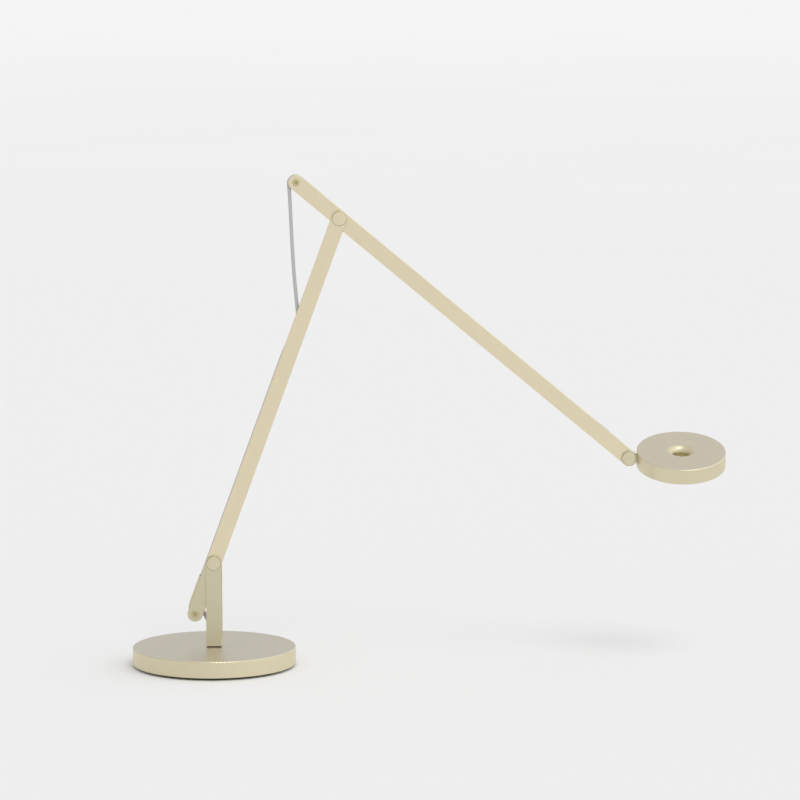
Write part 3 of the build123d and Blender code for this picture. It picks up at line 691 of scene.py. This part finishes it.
def turned(name: str, profile: Profile, centre: Vector, axis: Vector, bevel: float = 0.0,
           steps: int = 96) -> bpy.types.Object:
    """Turn a closed profile about an axis, as on a lathe.

    One vertex is pushed along the profile, and the outline is spun about the axis.

    Args:
        name: The piece's name.
        profile: The radius and height of each corner, in millimetres, in order.
        centre: Where the profile's origin lies, in millimetres.
        axis: The direction of the profile's height.
        bevel: The width that breaks its corners, in millimetres.
        steps: The number of faces round it.

    Returns:
        The piece, with its place in its mesh.
    """
    select_only()
    bpy.ops.mesh.primitive_plane_add(size=MM, location=(0.0, 0.0, 0.0))
    piece = bpy.context.object
    piece.name = piece.data.name = name
    bpy.ops.object.mode_set(mode="EDIT")
    bpy.ops.mesh.select_mode(type="VERT")
    bpy.ops.mesh.select_all(action="SELECT")
    bpy.ops.mesh.merge(type="CENTER")
    bpy.ops.transform.translate(value=(profile[0][0] * MM, 0.0, profile[0][1] * MM))
    for (radius, height), (next_radius, next_height) in zip(profile, profile[1:]):
        step = ((next_radius - radius) * MM, 0.0, (next_height - height) * MM)
        bpy.ops.mesh.extrude_region_move(TRANSFORM_OT_translate={"value": step})
    bpy.ops.mesh.select_all(action="SELECT")
    bpy.ops.mesh.spin(steps=steps, angle=2.0 * math.pi, center=(0.0, 0.0, 0.0), axis=UPWARD)
    bpy.ops.mesh.select_all(action="SELECT")
    bpy.ops.mesh.remove_doubles(threshold=0.002 * MM)
    bpy.ops.mesh.normals_make_consistent(inside=False)
    bpy.ops.object.mode_set(mode="OBJECT")
    if bevel > 0.0:
        break_edges(piece, bevel)
    settle(piece, centre, axis.to_track_quat("Z", "Y").to_euler())
    return piece


def joined(name: str, pieces: Sequence[bpy.types.Object]) -> bpy.types.Object:
    """Join pieces into one.

    Args:
        name: The joined piece's name.
        pieces: The pieces.

    Returns:
        The joined piece.
    """
    select_only(*pieces)
    bpy.ops.object.join()
    pieces[0].name = pieces[0].data.name = name
    return pieces[0]


def tint(piece: bpy.types.Object, centre: Vector, axis: Vector, reach: tuple[float, float],
         material: bpy.types.Material) -> None:
    """Give a second finish to the faces that lie between two radii from an axis.

    Args:
        piece: The piece, which has its main finish.
        centre: A point on the axis, in millimetres.
        axis: The axis's direction.
        reach: The lower and the upper radius, in millimetres.
        material: The second finish.
    """
    piece.data.materials.append(material)
    for face in piece.data.polygons:
        off = face.center / MM - centre
        radius = (off - axis * off.dot(axis)).length
        if reach[0] < radius < reach[1]:
            face.material_index = len(piece.data.materials) - 1


# ---------------------------------------------------------------- cords
@dataclass
class CordTube:
    """A round cord on a smooth line through a few chosen points."""

    name: str
    points: Sequence[Vector]
    radius: float = PLAN.cord_radius
    sides: int = 20
    per_run: int = 14

    def centreline(self) -> list[Vector]:
        """Return the points of the cord's smooth line, in metres."""
        data = bpy.data.curves.new(f"{self.name}_line", "CURVE")
        data.dimensions = "3D"
        spline = data.splines.new("NURBS")
        spline.points.add(len(self.points) - 1)
        for corner, point in zip(spline.points, self.points):
            corner.co = (*(point * MM), 1.0)
        spline.order_u = 3
        spline.use_endpoint_u = True
        spline.resolution_u = self.per_run
        guide = linked(data.name, data)
        bpy.context.view_layer.update()
        line = bpy.data.meshes.new_from_object(guide)
        found = [vertex.co.copy() for vertex in line.vertices]
        bpy.data.objects.remove(guide)
        bpy.data.meshes.remove(line)
        return found

    def build(self) -> bpy.types.Object:
        """Return the tube, with the way round it and the run along it as its UV map."""
        line = self.centreline()
        side = REARWARD
        verts, faces, runs = [], [], []
        run = 0.0
        for index, point in enumerate(line):
            before, after = line[max(index - 1, 0)], line[min(index + 1, len(line) - 1)]
            way = (after - before).normalized()
            side = (side - way * side.dot(way)).normalized()
            up = way.cross(side)
            run += (point - before).length
            runs.append(run)
            for turn in range(self.sides):
                angle = 2.0 * math.pi * turn / self.sides
                verts.append(point + (side * math.cos(angle) + up * math.sin(angle)) * self.radius * MM)
        for ring in range(len(line) - 1):
            for turn in range(self.sides):
                low, high = ring * self.sides, (ring + 1) * self.sides
                following = (turn + 1) % self.sides
                faces.append((low + turn, low + following, high + following, high + turn))
        faces.append(tuple(reversed(range(self.sides))))
        faces.append(tuple(range((len(line) - 1) * self.sides, len(line) * self.sides)))
        data = bpy.data.meshes.new(self.name)
        data.from_pydata(verts, [], faces)
        layer = data.uv_layers.new(name="braid")
        for face in data.polygons:
            face.use_smooth = len(face.vertices) == 4
            corners = [data.loops[loop].vertex_index % self.sides for loop in face.loop_indices]
            wraps = max(corners) - min(corners) > 1
            for loop, corner in zip(face.loop_indices, corners):
                ring = data.loops[loop].vertex_index // self.sides
                round_it = corner + self.sides if wraps and corner == 0 else corner
                layer.data[loop].uv = (round_it / self.sides, runs[ring])
        return linked(self.name, data)


@dataclass
class HeldCord:
    """The grey cord, from the post's foot to the spring in the upper arm."""

    riser_top: float = 37.2
    tail_exit: Triple = (-11.4, 0.0, 58.8)
    groove_rear: float = 7.3
    groove_stations: tuple[float, ...] = (-41.0, -17.0, 231.0, 251.0)
    pin_stations: tuple[float, ...] = (271.0, 283.4)
    lift_off: float = 0.6
    bow: float = 1.0
    short_of_pulley: float = 2.6
    below_pulley: float = 3.0
    inside: float = 5.0
    sink: float = 1.1
    entry_slope: float = 12.0
    arm_stations: tuple[float, ...] = (-46.0, -20.0, 70.0)

    def build(self, sheath: bpy.types.Material) -> None:
        """Make the cord's four stretches.

        Args:
            sheath: The braid's material.
        """
        for piece, *nodes in (
            (self._tail_link(), "tail_link_cord"),
            (self._arm_run(), "lower_arm_cord", "cord_guide_bend"),
            (self._free_stretch(), "cord_stretch_lower", "cord_stretch_upper"),
            (self._tail_wrap(), "upper_arm_cord"),
        ):
            piece.data.materials.append(sheath)
            stand_in(piece, "grey_cord", *nodes)

    def _tail_link(self) -> bpy.types.Object:
        """Return the short stretch between the post and the lower arm's tail."""
        low, high = Vector((0.0, 0.0, self.riser_top)), Vector(self.tail_exit)
        middle = (low + high) * 0.5 + Vector((-0.5, 0.0, -0.4))
        piece = CordTube("cord_tail_link", [low, middle, high]).build()
        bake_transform(piece)
        return piece

    def _arm_run(self) -> bpy.types.Object:
        """Return the cord in the lower arm's rear groove, down under the guide pin and round it."""
        leaves, _, way = PLAN.stretch()
        under_pin = PLAN.guide_offset - PLAN.guide_bend
        points = [Vector(self.tail_exit)]
        points += [PLAN.on_lower(along, self.groove_rear) for along in self.groove_stations]
        points += [PLAN.on_lower(along, under_pin) for along in self.pin_stations]
        points.append(leaves + way * self.lift_off)
        piece = CordTube("cord_arm_run", points).build()
        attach(piece, "lower_arm")
        return piece

    def _free_stretch(self) -> bpy.types.Object:
        """Return the taut stretch, which its own stiffness bows a little near the guide."""
        start, end, way = PLAN.stretch()
        length = (end - start).length
        out = beside(way, 0.0, self.bow)
        top = end - way * self.short_of_pulley
        points = [start, start + way * 14.0 + out * 0.35, start + way * 48.0 + out * 1.25,
                  start + way * (length * 0.6) + out * 0.9, top - way * 22.0, top]
        piece = CordTube("cord_free_stretch", points, per_run=10).build()
        start * MM
        end * MM
        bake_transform(piece)
        return piece

    def _tail_wrap(self) -> bpy.types.Object:
        """Return the cord over the tail pulley and on into the upper arm."""
        _, meets, way = PLAN.stretch()
        pulley = PLAN.on_upper(-PLAN.upper_tail, 0.0)
        slope = math.radians(self.entry_slope)
        leaves = PLAN.on_upper(-PLAN.upper_tail + PLAN.pulley_bend * math.sin(slope),
                               PLAN.pulley_bend * math.cos(slope))
        begin, finish = meets - pulley, leaves - pulley
        turn = begin.angle(finish)
        steps = 4
        stretch = 1.0 / math.cos(turn / (2 * steps))
        points = [meets - way * self.below_pulley, meets]
        for step in range(steps):
            share = (step + 0.5) / steps
            near = begin * math.sin((1.0 - share) * turn) + finish * math.sin(share * turn)
            sunk = 1.0 - self.sink * min(2.0 * share, 1.0) / PLAN.pulley_bend
            points.append(pulley + near / math.sin(turn) * stretch * sunk)
        points += [PLAN.on_upper(along, self.inside) for along in self.arm_stations]
        piece = CordTube("cord_tail_wrap", points).build()
        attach(piece, "upper_arm")
        return piece


@dataclass(frozen=True)
class YieldingPiece:
    """A spring or lead whose two ends sit on different bodies."""

    name: str
    node: str
    slot: str
    near_body: str
    far_body: str
    way: Vector

    def build(self) -> None:
        """Copy the node's shape into a smoothed piece, and hide the node."""
        piece = linked(self.name, frame["nodes"][self.node].data.copy())
        select_only(piece)
        bpy.ops.object.mode_set(mode="EDIT")
        bpy.ops.mesh.select_all(action="SELECT")
        bpy.ops.mesh.remove_doubles(threshold=0.001 * MM)
        bpy.ops.object.mode_set(mode="OBJECT")
        bpy.ops.object.shade_smooth_by_angle(angle=SMOOTH_ANGLE)
        reach = [vertex.co.dot(self.way) for vertex in piece.data.vertices]
        low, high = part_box(self.node)
        middle = (low + high) * 0.5
        start, end = (middle + self.way * (value - middle.dot(self.way))
                      for value in (min(reach), max(reach)))
        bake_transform(piece)
        stand_in(piece, self.slot, self.node)


# ---------------------------------------------------------------- turned metal pieces
@dataclass
class PivotCaps:
    """The round cover discs on both faces of a pivot, each in a seating ring whose dark colour is painted
    shadow.
    """

    name: str
    node: str
    body: str
    centre: Vector
    face: float
    disc_radius: float = 7.5
    seat_radius: float = 7.85
    height: float = 1.2
    seat_height: float = 0.35
    chamfer: float = 0.25
    stub_radius: float = 1.15
    stub_length: float = 2.0

    def build(self, finish: bpy.types.Material, seat: bpy.types.Material) -> None:
        """Make the pair.

        Args:
            finish: The discs' finish.
            seat: The seating rings' finish, a dark colour that paints the shadow gap round each disc.
        """
        disc, ring, top = self.disc_radius, self.seat_radius, self.height
        profile = [(0.0, -self.stub_length), (self.stub_radius, -self.stub_length), (self.stub_radius, 0.0),
                   (ring, 0.0), (ring, self.seat_height), (disc, self.seat_height),
                   (disc, top - self.chamfer), (disc - self.chamfer, top), (0.0, top)]
        pair = joined(self.name, [
            turned(self.name, profile, self.centre + side * self.face, side, bevel=0.06)
            for side in (-REARWARD, REARWARD)])
        pair.data.materials.append(finish)
        # painted shadow: the ring round each disc takes the dark seat finish.
        tint(pair, self.centre, REARWARD, (disc + 0.04, ring + 1.0), seat)
        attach(pair, self.body)
        stand_in(pair, "satin_metal", self.node)


@dataclass
class TailScrew:
    """The flush screw through an arm's tail: a bright land round a recessed middle, with painted shade on that
    middle and on the chamfer.
    """

    name: str
    node: str
    body: str
    centre: Vector
    half_depth: float
    radius: float = 3.45
    chamfer: float = 0.35
    collar_radius: float = 3.8
    collar_drop: float = 0.3
    collar_depth: float = 0.46
    recess_radius: float = 2.3
    recess_slope: float = 0.3
    recess_depth: float = 0.5
    socket_radius: float = 1.45
    socket_depth: float = 1.5

    def build(self, finish: bpy.types.Material, recess_shade: bpy.types.Material) -> None:
        """Make the screw.

        Args:
            finish: Its finish.
            recess_shade: Painted shade for its recessed middle and its chamfer, a dark olive copy of the satin.
        """
        top, bottom = self.half_depth, -self.half_depth
        seat, land, floor = top - self.collar_depth, top - self.collar_drop, top - self.recess_depth
        profile = [(0.0, bottom + self.socket_depth), (self.socket_radius, bottom + self.socket_depth),
                   (self.socket_radius, bottom), (self.radius, bottom), (self.radius, seat),
                   (self.collar_radius, seat), (self.collar_radius, land), (self.radius, land),
                   (self.radius - self.chamfer, top), (self.recess_radius, top),
                   (self.recess_radius - self.recess_slope, floor), (0.0, floor)]
        screw = turned(self.name, profile, self.centre, -REARWARD, bevel=0.05, steps=72)
        screw.data.materials.append(finish)
        for reach in ((-1.0, self.recess_radius - 0.02),
                      (self.radius - self.chamfer + 0.05, self.collar_radius + 0.5)):
            # painted shade: the recessed middle and the chamfer take the dark olive finish.
            tint(screw, self.centre, -REARWARD, reach, recess_shade)
        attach(screw, self.body)
        stand_in(screw, "satin_metal", self.node)


@dataclass
class TailCover:
    """The proud strip over the rear groove, which runs out smoothly towards the tail's round end."""

    start: float = -48.5
    end: float = -18.2
    run_out: float = -58.0
    low: float = 8.5
    high: float = 10.35
    half_depth: float = 5.55
    channel_half: float = 2.15
    channel_top: float = 9.4
    tapers: tuple[tuple[float, float], ...] = ((0.45, 0.82), (0.3, 0.6), (0.25, 0.12))

    def build(self, finish: bpy.types.Material) -> None:
        """Make the strip.

        Args:
            finish: Its finish.
        """
        strip = self._box("tail_groove_cover", (self.start, self.end), (self.low, self.high), self.half_depth)
        pick(strip, lambda face: face.normal.x < -0.9)
        middle = (0.0, 0.0, self.low * MM)
        for step, fall in self.tapers:
            move = (self.run_out - self.start) * step * MM
            bpy.ops.mesh.extrude_region_move(TRANSFORM_OT_translate={"value": (move, 0.0, 0.0)})
            bpy.ops.transform.resize(value=(1.0, 1.0, fall), center_override=middle)
        bpy.ops.object.mode_set(mode="OBJECT")
        cutter = self._box("channel_cutter", (self.start + 3.0, self.end + 1.0),
                           (self.low - 1.0, self.channel_top), self.channel_half)
        select_only(strip)
        cut = strip.modifiers.new("cord_channel", "BOOLEAN")
        cut.object = cutter
        cut.operation = "DIFFERENCE"
        bpy.ops.object.modifier_apply(modifier=cut.name)
        bpy.data.objects.remove(cutter)
        break_edges(strip, 0.3, 50.0)
        settle(strip, Vector(PLAN.lower_pivot), (0.0, math.radians(PLAN.lower_lean - 90.0), 0.0))
        strip.data.materials.append(finish)
        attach(strip, "lower_arm")
        stand_in(strip, "satin_metal", "tail_cord_cover")

    def _box(self, name: str, along: tuple[float, float], rear: tuple[float, float],
             half: float) -> bpy.types.Object:
        """Add a box in the arm's own directions.

        Args:
            name: Its name.
            along: Its ends up the arm.
            rear: Its sides from the arm's axis towards the rear edge.
            half: Half its depth.

        Returns:
            The box, at its size and place.
        """
        select_only()
        place = ((along[0] + along[1]) * 0.5 * MM, 0.0, (rear[0] + rear[1]) * 0.5 * MM)
        size = ((along[1] - along[0]) * MM, 2.0 * half * MM, (rear[1] - rear[0]) * MM)
        bpy.ops.mesh.primitive_cube_add(size=1.0, location=place, scale=size)
        box = bpy.context.object
        box.name = box.data.name = name
        bpy.ops.object.transform_apply(location=True, rotation=True, scale=True)
        return box


@dataclass
class FootPad:
    """The ribbed rubber pad under the base."""

    radius: float = 84.0
    thickness: float = 2.6
    groove_depth: float = 0.7
    first_rib: float = 14.0
    pitch: float = 7.0
    slope: float = 0.7
    groove_width: float = 2.6
    lip: float = 0.6

    def build(self, rubber: bpy.types.Material) -> None:
        """Make the pad.

        Args:
            rubber: Its material.
        """
        profile = [(0.0, 0.0)]
        rib = self.first_rib
        while rib < self.radius - self.pitch:
            profile += [(rib, 0.0), (rib + self.slope, self.groove_depth),
                        (rib + self.groove_width - self.slope, self.groove_depth),
                        (rib + self.groove_width, 0.0)]
            rib += self.pitch
        profile += [(self.radius - self.lip, 0.0), (self.radius, self.lip), (self.radius, self.thickness),
                    (0.0, self.thickness)]
        pad = turned("ribbed_foot_pad", profile, Vector(), UPWARD, steps=128)
        pad.data.materials.append(rubber)
        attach(pad, "base")
        stand_in(pad, "black_rubber", "base_foot_pad")


@dataclass
class HeadFace:
    """What closes the head's lit side, and the button at the bottom of its dished hole."""

    lens_inner: float = 10.9
    lens_outer: float = 41.8
    lens_low: float = -7.35
    lens_high: float = -5.4
    prism_pitch: float = 1.5
    prism_depth: float = 0.3
    bezel_inner: float = 40.6
    bezel_outer: float = 46.6
    bezel_high: float = -7.55
    bezel_low: float = -8.5
    shadow_line: tuple[float, ...] = (1.6, 1.4, 1.0, 0.8)
    shadow_depth: float = 0.3
    button_radius: float = 8.1
    button_top: float = -4.2
    button_thickness: float = 1.4
    button_edge: float = 0.35
    button_land: float = 1.1
    button_dish: float = 0.6
    dish_rings: int = 6
    stem_radius: float = 1.8
    spring_seat: float = -7.1

    def build(self, lens: bpy.types.Material, metal: bpy.types.Material) -> None:
        """Make the lens, the bezel and the button.

        Args:
            lens: The lens's material.
            metal: The metal's material.
        """
        made = (
            (self._lens(), "diffuser", "head", "opal_diffuser", lens),
            (self._bezel(), "bezel_ring", "head", "satin_metal", metal),
            (self._button(), "dimmer_button", "button", "satin_metal", metal),
        )
        for piece, node, body, slot, material in made:
            piece.data.materials.append(material)
            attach(piece, body)
            stand_in(piece, slot, node)

    def _lens(self) -> bpy.types.Object:
        """Return the opal ring with shallow circular prisms."""
        profile = [(self.lens_inner, self.lens_high), (self.lens_inner, self.lens_low)]
        radius = self.lens_inner + 1.0
        while radius + self.prism_pitch < self.lens_outer - 1.5:
            profile += [(radius, self.lens_low),
                        (radius + self.prism_pitch * 0.8, self.lens_low + self.prism_depth)]
            radius += self.prism_pitch
        profile += [(radius, self.lens_low), (self.lens_outer, self.lens_low),
                    (self.lens_outer, self.lens_high), (self.lens_inner, self.lens_high)]
        return turned("prismatic_lens", profile, PLAN.head_centre, PLAN.head_axis, steps=128)

    def _bezel(self) -> bpy.types.Object:
        """Return the ring that holds the lens, with a step for it and a fine shadow line."""
        inner, outer, high, low = self.bezel_inner, self.bezel_outer, self.bezel_high, self.bezel_low
        line = low + self.shadow_depth
        profile = [(inner, high), (inner, low + 0.4), (inner + 0.5, low)]
        profile += [(outer - inward, height) for inward, height in zip(self.shadow_line, (low, line, line, low))]
        profile += [(outer, low), (outer, high), (inner, high)]
        return turned("lens_bezel", profile, PLAN.head_centre, PLAN.head_axis, bevel=0.06, steps=128)

    def _button(self) -> bpy.types.Object:
        """Return the dished button with its stem."""
        top, radius = self.button_top, self.button_radius
        under = top - self.button_thickness
        stem = self.spring_seat + 0.9
        dish = radius - self.button_land
        profile = [(0.0, stem), (self.stem_radius, stem), (self.stem_radius, under), (radius, under),
                   (radius, top - self.button_edge), (radius - self.button_edge, top), (dish, top)]
        for ring in range(self.dish_rings):
            share = (ring + 1) / self.dish_rings
            profile.append((dish * (1.0 - share), top - self.button_dish * share * (2.0 - share)))
        return turned("dished_button", profile, PLAN.head_centre, PLAN.head_axis, steps=72)


# ---------------------------------------------------------------- the studio
@dataclass
class Studio:
    """The floor, the lights and the camera."""

    camera_place: Triple = (0.2051, -3.91623, 0.78306)
    camera_pitch: float = 82.9
    lens: float = 162.0
    floor_size: float = 160.0
    floor_colour: float = 0.905
    far_colour: float = 0.955
    fade_start: float = 4.0
    fade_length: float = 26.0
    contact_gap: float = 0.6
    key_from: Triple = (0.066, -0.150, 0.231)
    key_strength: float = 0.55
    key_angle: float = 26.0
    surround_light: float = 0.50
    front_light: float = 0.27
    rear_light: float = 0.23
    overhead_light: float = 0.27
    right_light: float = 0.86
    left_light: float = 0.20

    def build(self) -> None:
        """Make the camera, the floor, the surround and the key light."""
        self._camera()
        self._floor()
        self._surround()
        self._key()
        bpy.context.scene.view_settings.view_transform = "Standard"

    def _camera(self) -> None:
        """Place the camera where the photograph was taken from."""
        data = bpy.data.cameras.new("camera")
        data.lens = self.lens
        data.sensor_width = 36.0
        data.clip_start = 0.1
        data.clip_end = 2.0 * self.floor_size
        camera = linked("camera", data)
        camera.location = self.camera_place
        camera.rotation_euler = (math.radians(self.camera_pitch), 0.0, 0.0)
        bpy.context.scene.camera = camera

    def _floor(self) -> None:
        """Lay the pale floor, a little paler far away, and clear from below to show the underside."""
        select_only()
        bpy.ops.mesh.primitive_plane_add(size=self.floor_size, location=(0.0, 0.0, -0.0001))
        floor = bpy.context.object
        floor.name = "floor"
        shop = MaterialShop("floor_paper")
        where = shop.place()
        _, away, _ = shop.parts(where)
        mottle = shop.noise(where, 0.7, 2.0, 0.5)
        share = ((away - self.fade_start) / self.fade_length + (mottle - 0.5) * 0.5).held()
        paper = shop.mix(share, (self.floor_colour,) * 3, (self.far_colour,) * 3)
        matt = shop.node("ShaderNodeBsdfDiffuse", None, {"Color": paper}, "BSDF")
        clear = shop.node("ShaderNodeBsdfTransparent", output="BSDF")
        below = shop.node("ShaderNodeNewGeometry", output="Backfacing")
        touching = shop.node("ShaderNodeLightPath", output="Ray Length") < self.contact_gap * MM
        behind = (below + touching).held()
        shop.finish(shop.node("ShaderNodeMixShader", None, {0: behind, 1: matt, 2: clear}, "Shader"))
        floor.data.materials.append(shop.material)

    def _surround(self) -> None:
        """Light the lamp from all round, with broad soft lights in front, overhead and at the right."""
        world = bpy.data.worlds.new("surround")
        bpy.context.scene.world = world
        world.use_nodes = True
        shop = NodeShop(world.node_tree)
        side, depth, height = shop.parts(shop.node("ShaderNodeTexCoord", output="Generated"))
        level = depth.held() * self.rear_light + self.surround_light
        for way, strength in ((0.0 - depth, self.front_light), (height, self.overhead_light),
                              (side, self.right_light), (0.0 - side, self.left_light)):
            level = level + way.held() * strength
        light = shop.node("ShaderNodeBackground", None, {"Strength": level}, "Background")
        shop.finish(light, "ShaderNodeOutputWorld")

    def _key(self) -> None:
        """Hang a broad soft light in front, high and to the right."""
        data = bpy.data.lights.new("key", "SUN")
        data.energy = self.key_strength
        data.angle = math.radians(self.key_angle)
        lamp = linked("key", data)
        lamp.rotation_euler = (-Vector(self.key_from)).to_track_quat("-Z", "Y").to_euler()


def main() -> None:
    """Build the lamp's looks on the frame."""
    logging.basicConfig(level=logging.INFO, format="%(message)s")
    Studio().build()
    satin = SatinAnodised().make()
    # The arms' satin is a lighter copy of the same finish: painted light, for the extra light the arms catch.
    bars = SatinAnodised("satin_bars_painted_light", linear(237, 225, 194)).make()
    # The lower bar's tail gets painted shade in the post's darker tone.
    lower_bar = TailShadeSatin(colour=linear(237, 225, 194), pivot=PLAN.lower_pivot,
                            tailwards=tuple(-PLAN.lower_way)).make()
    # The post's satin is a darker copy of the same finish: painted shade, for the dim reflection of the base's
    # top on the lower post.
    post = SatinAnodised("satin_post_painted_shade", linear(216, 209, 180)).make()
    # A dark olive copy of the satin: painted shade for the tail screws' recessed middles and chamfers.
    recess_shade = SatinAnodised("satin_recess_painted_shade", linear(186, 175, 126), 0.5).make()
    # The dark seating-ring colour is painted shadow, for the gap round each cover disc.
    seat = MouldedPlastic("painted_shadow_seat_ring", linear(140, 129, 101), 0.6).make()
    rubber = MouldedPlastic("foot_rubber", linear(44, 44, 44), 0.78, 1200.0, 0.0001).make()
    opal = OpalLens().make()
    finishes = {
        "satin_metal": satin, "ballast_iron": CastBallast().make(),
        "steel": TurnedMetal("turned_steel", linear(198, 198, 196)).make(),
        "black_rubber": rubber,
        "bearing_brass": TurnedMetal("turned_brass", linear(208, 178, 108)).make(),
        "slide_plastic": MouldedPlastic("slide_plastic", linear(66, 66, 66)).make(),
        "grey_cord": BraidedSheath("braided_lead", Weave.IN_SPACE).make(),
        "circuit_board": PrintedBoard().make(),
        "lamp_chip": MouldedPlastic("lamp_phosphor", linear(240, 216, 120), 0.35).make(),
        "white_reflector": MouldedPlastic("reflector_white", linear(243, 243, 241), 0.42).make(),
        "opal_diffuser": opal,
    }
    for part in frame["record"]["subparts"]:
        dress(part["node"], finishes[part["material_slot"]])
    dress("upper_arm_bar", bars)
    dress("lower_arm_bar", lower_bar)
    dress("post_fork", post)
    # The neck's dark colour is painted shade, for the shadow between the hub and the head's rim.
    dress("neck_spigot", TurnedMetal("neck_painted_shade_steel", linear(112, 106, 88)).make())
    # The flat faces of the base and the head get a paler, greyer colour: painted reflection.
    dress("base_cover", TurnedSatin("satin_base", face_height=21.4).make())
    dress("head_housing", TurnedSatin(
        "satin_head", centre=tuple(PLAN.head_centre), roll=PLAN.head_roll, face_height=8.75,
        face_colour_and_sheen=linear(226, 217, 197), face_roughness=0.40).make())
    HeldCord().build(BraidedSheath().make())
    # The groove cover wears the post's darker satin, whose tone is painted shade.
    TailCover().build(post)
    for piece in (
        YieldingPiece("balance_coil", "balance_spring", "steel", "slider", "upper_arm", PLAN.upper_way),
        YieldingPiece("button_coil", "button_spring", "steel", "head", "button", PLAN.head_axis),
        YieldingPiece("pivot_lead", "knuckle_lead", "grey_cord", "upper_arm", "knuckle", LEVEL),
        YieldingPiece("fed_lead", "arm_lead", "grey_cord", "slider", "upper_arm", PLAN.upper_way),
    ):
        piece.build()
    for level, body, pivot, half, finish in (
        ("lower", "post", Vector(PLAN.lower_pivot), PLAN.post_half, satin),
        ("upper", "lower_arm", PLAN.upper_pivot, PLAN.lower_half, bars),
        ("head", "knuckle", PLAN.head_pivot, PLAN.lower_half, satin),
    ):
        PivotCaps(f"{level}_cover_discs", f"{level}_caps", body, pivot, half).build(finish, seat)
    for level, place, half, finish in (
        ("lower", PLAN.on_lower(-PLAN.lower_tail, 0.0), PLAN.lower_half, satin),
        ("upper", PLAN.on_upper(-PLAN.upper_tail, 0.0), PLAN.upper_half, bars),
    ):
        TailScrew(f"{level}_screw", f"{level}_tail_screw", f"{level}_arm", place, half).build(finish, recess_shade)
    FootPad().build(rubber)
    HeadFace().build(opal, satin)


if __name__ == "__main__":
    main()
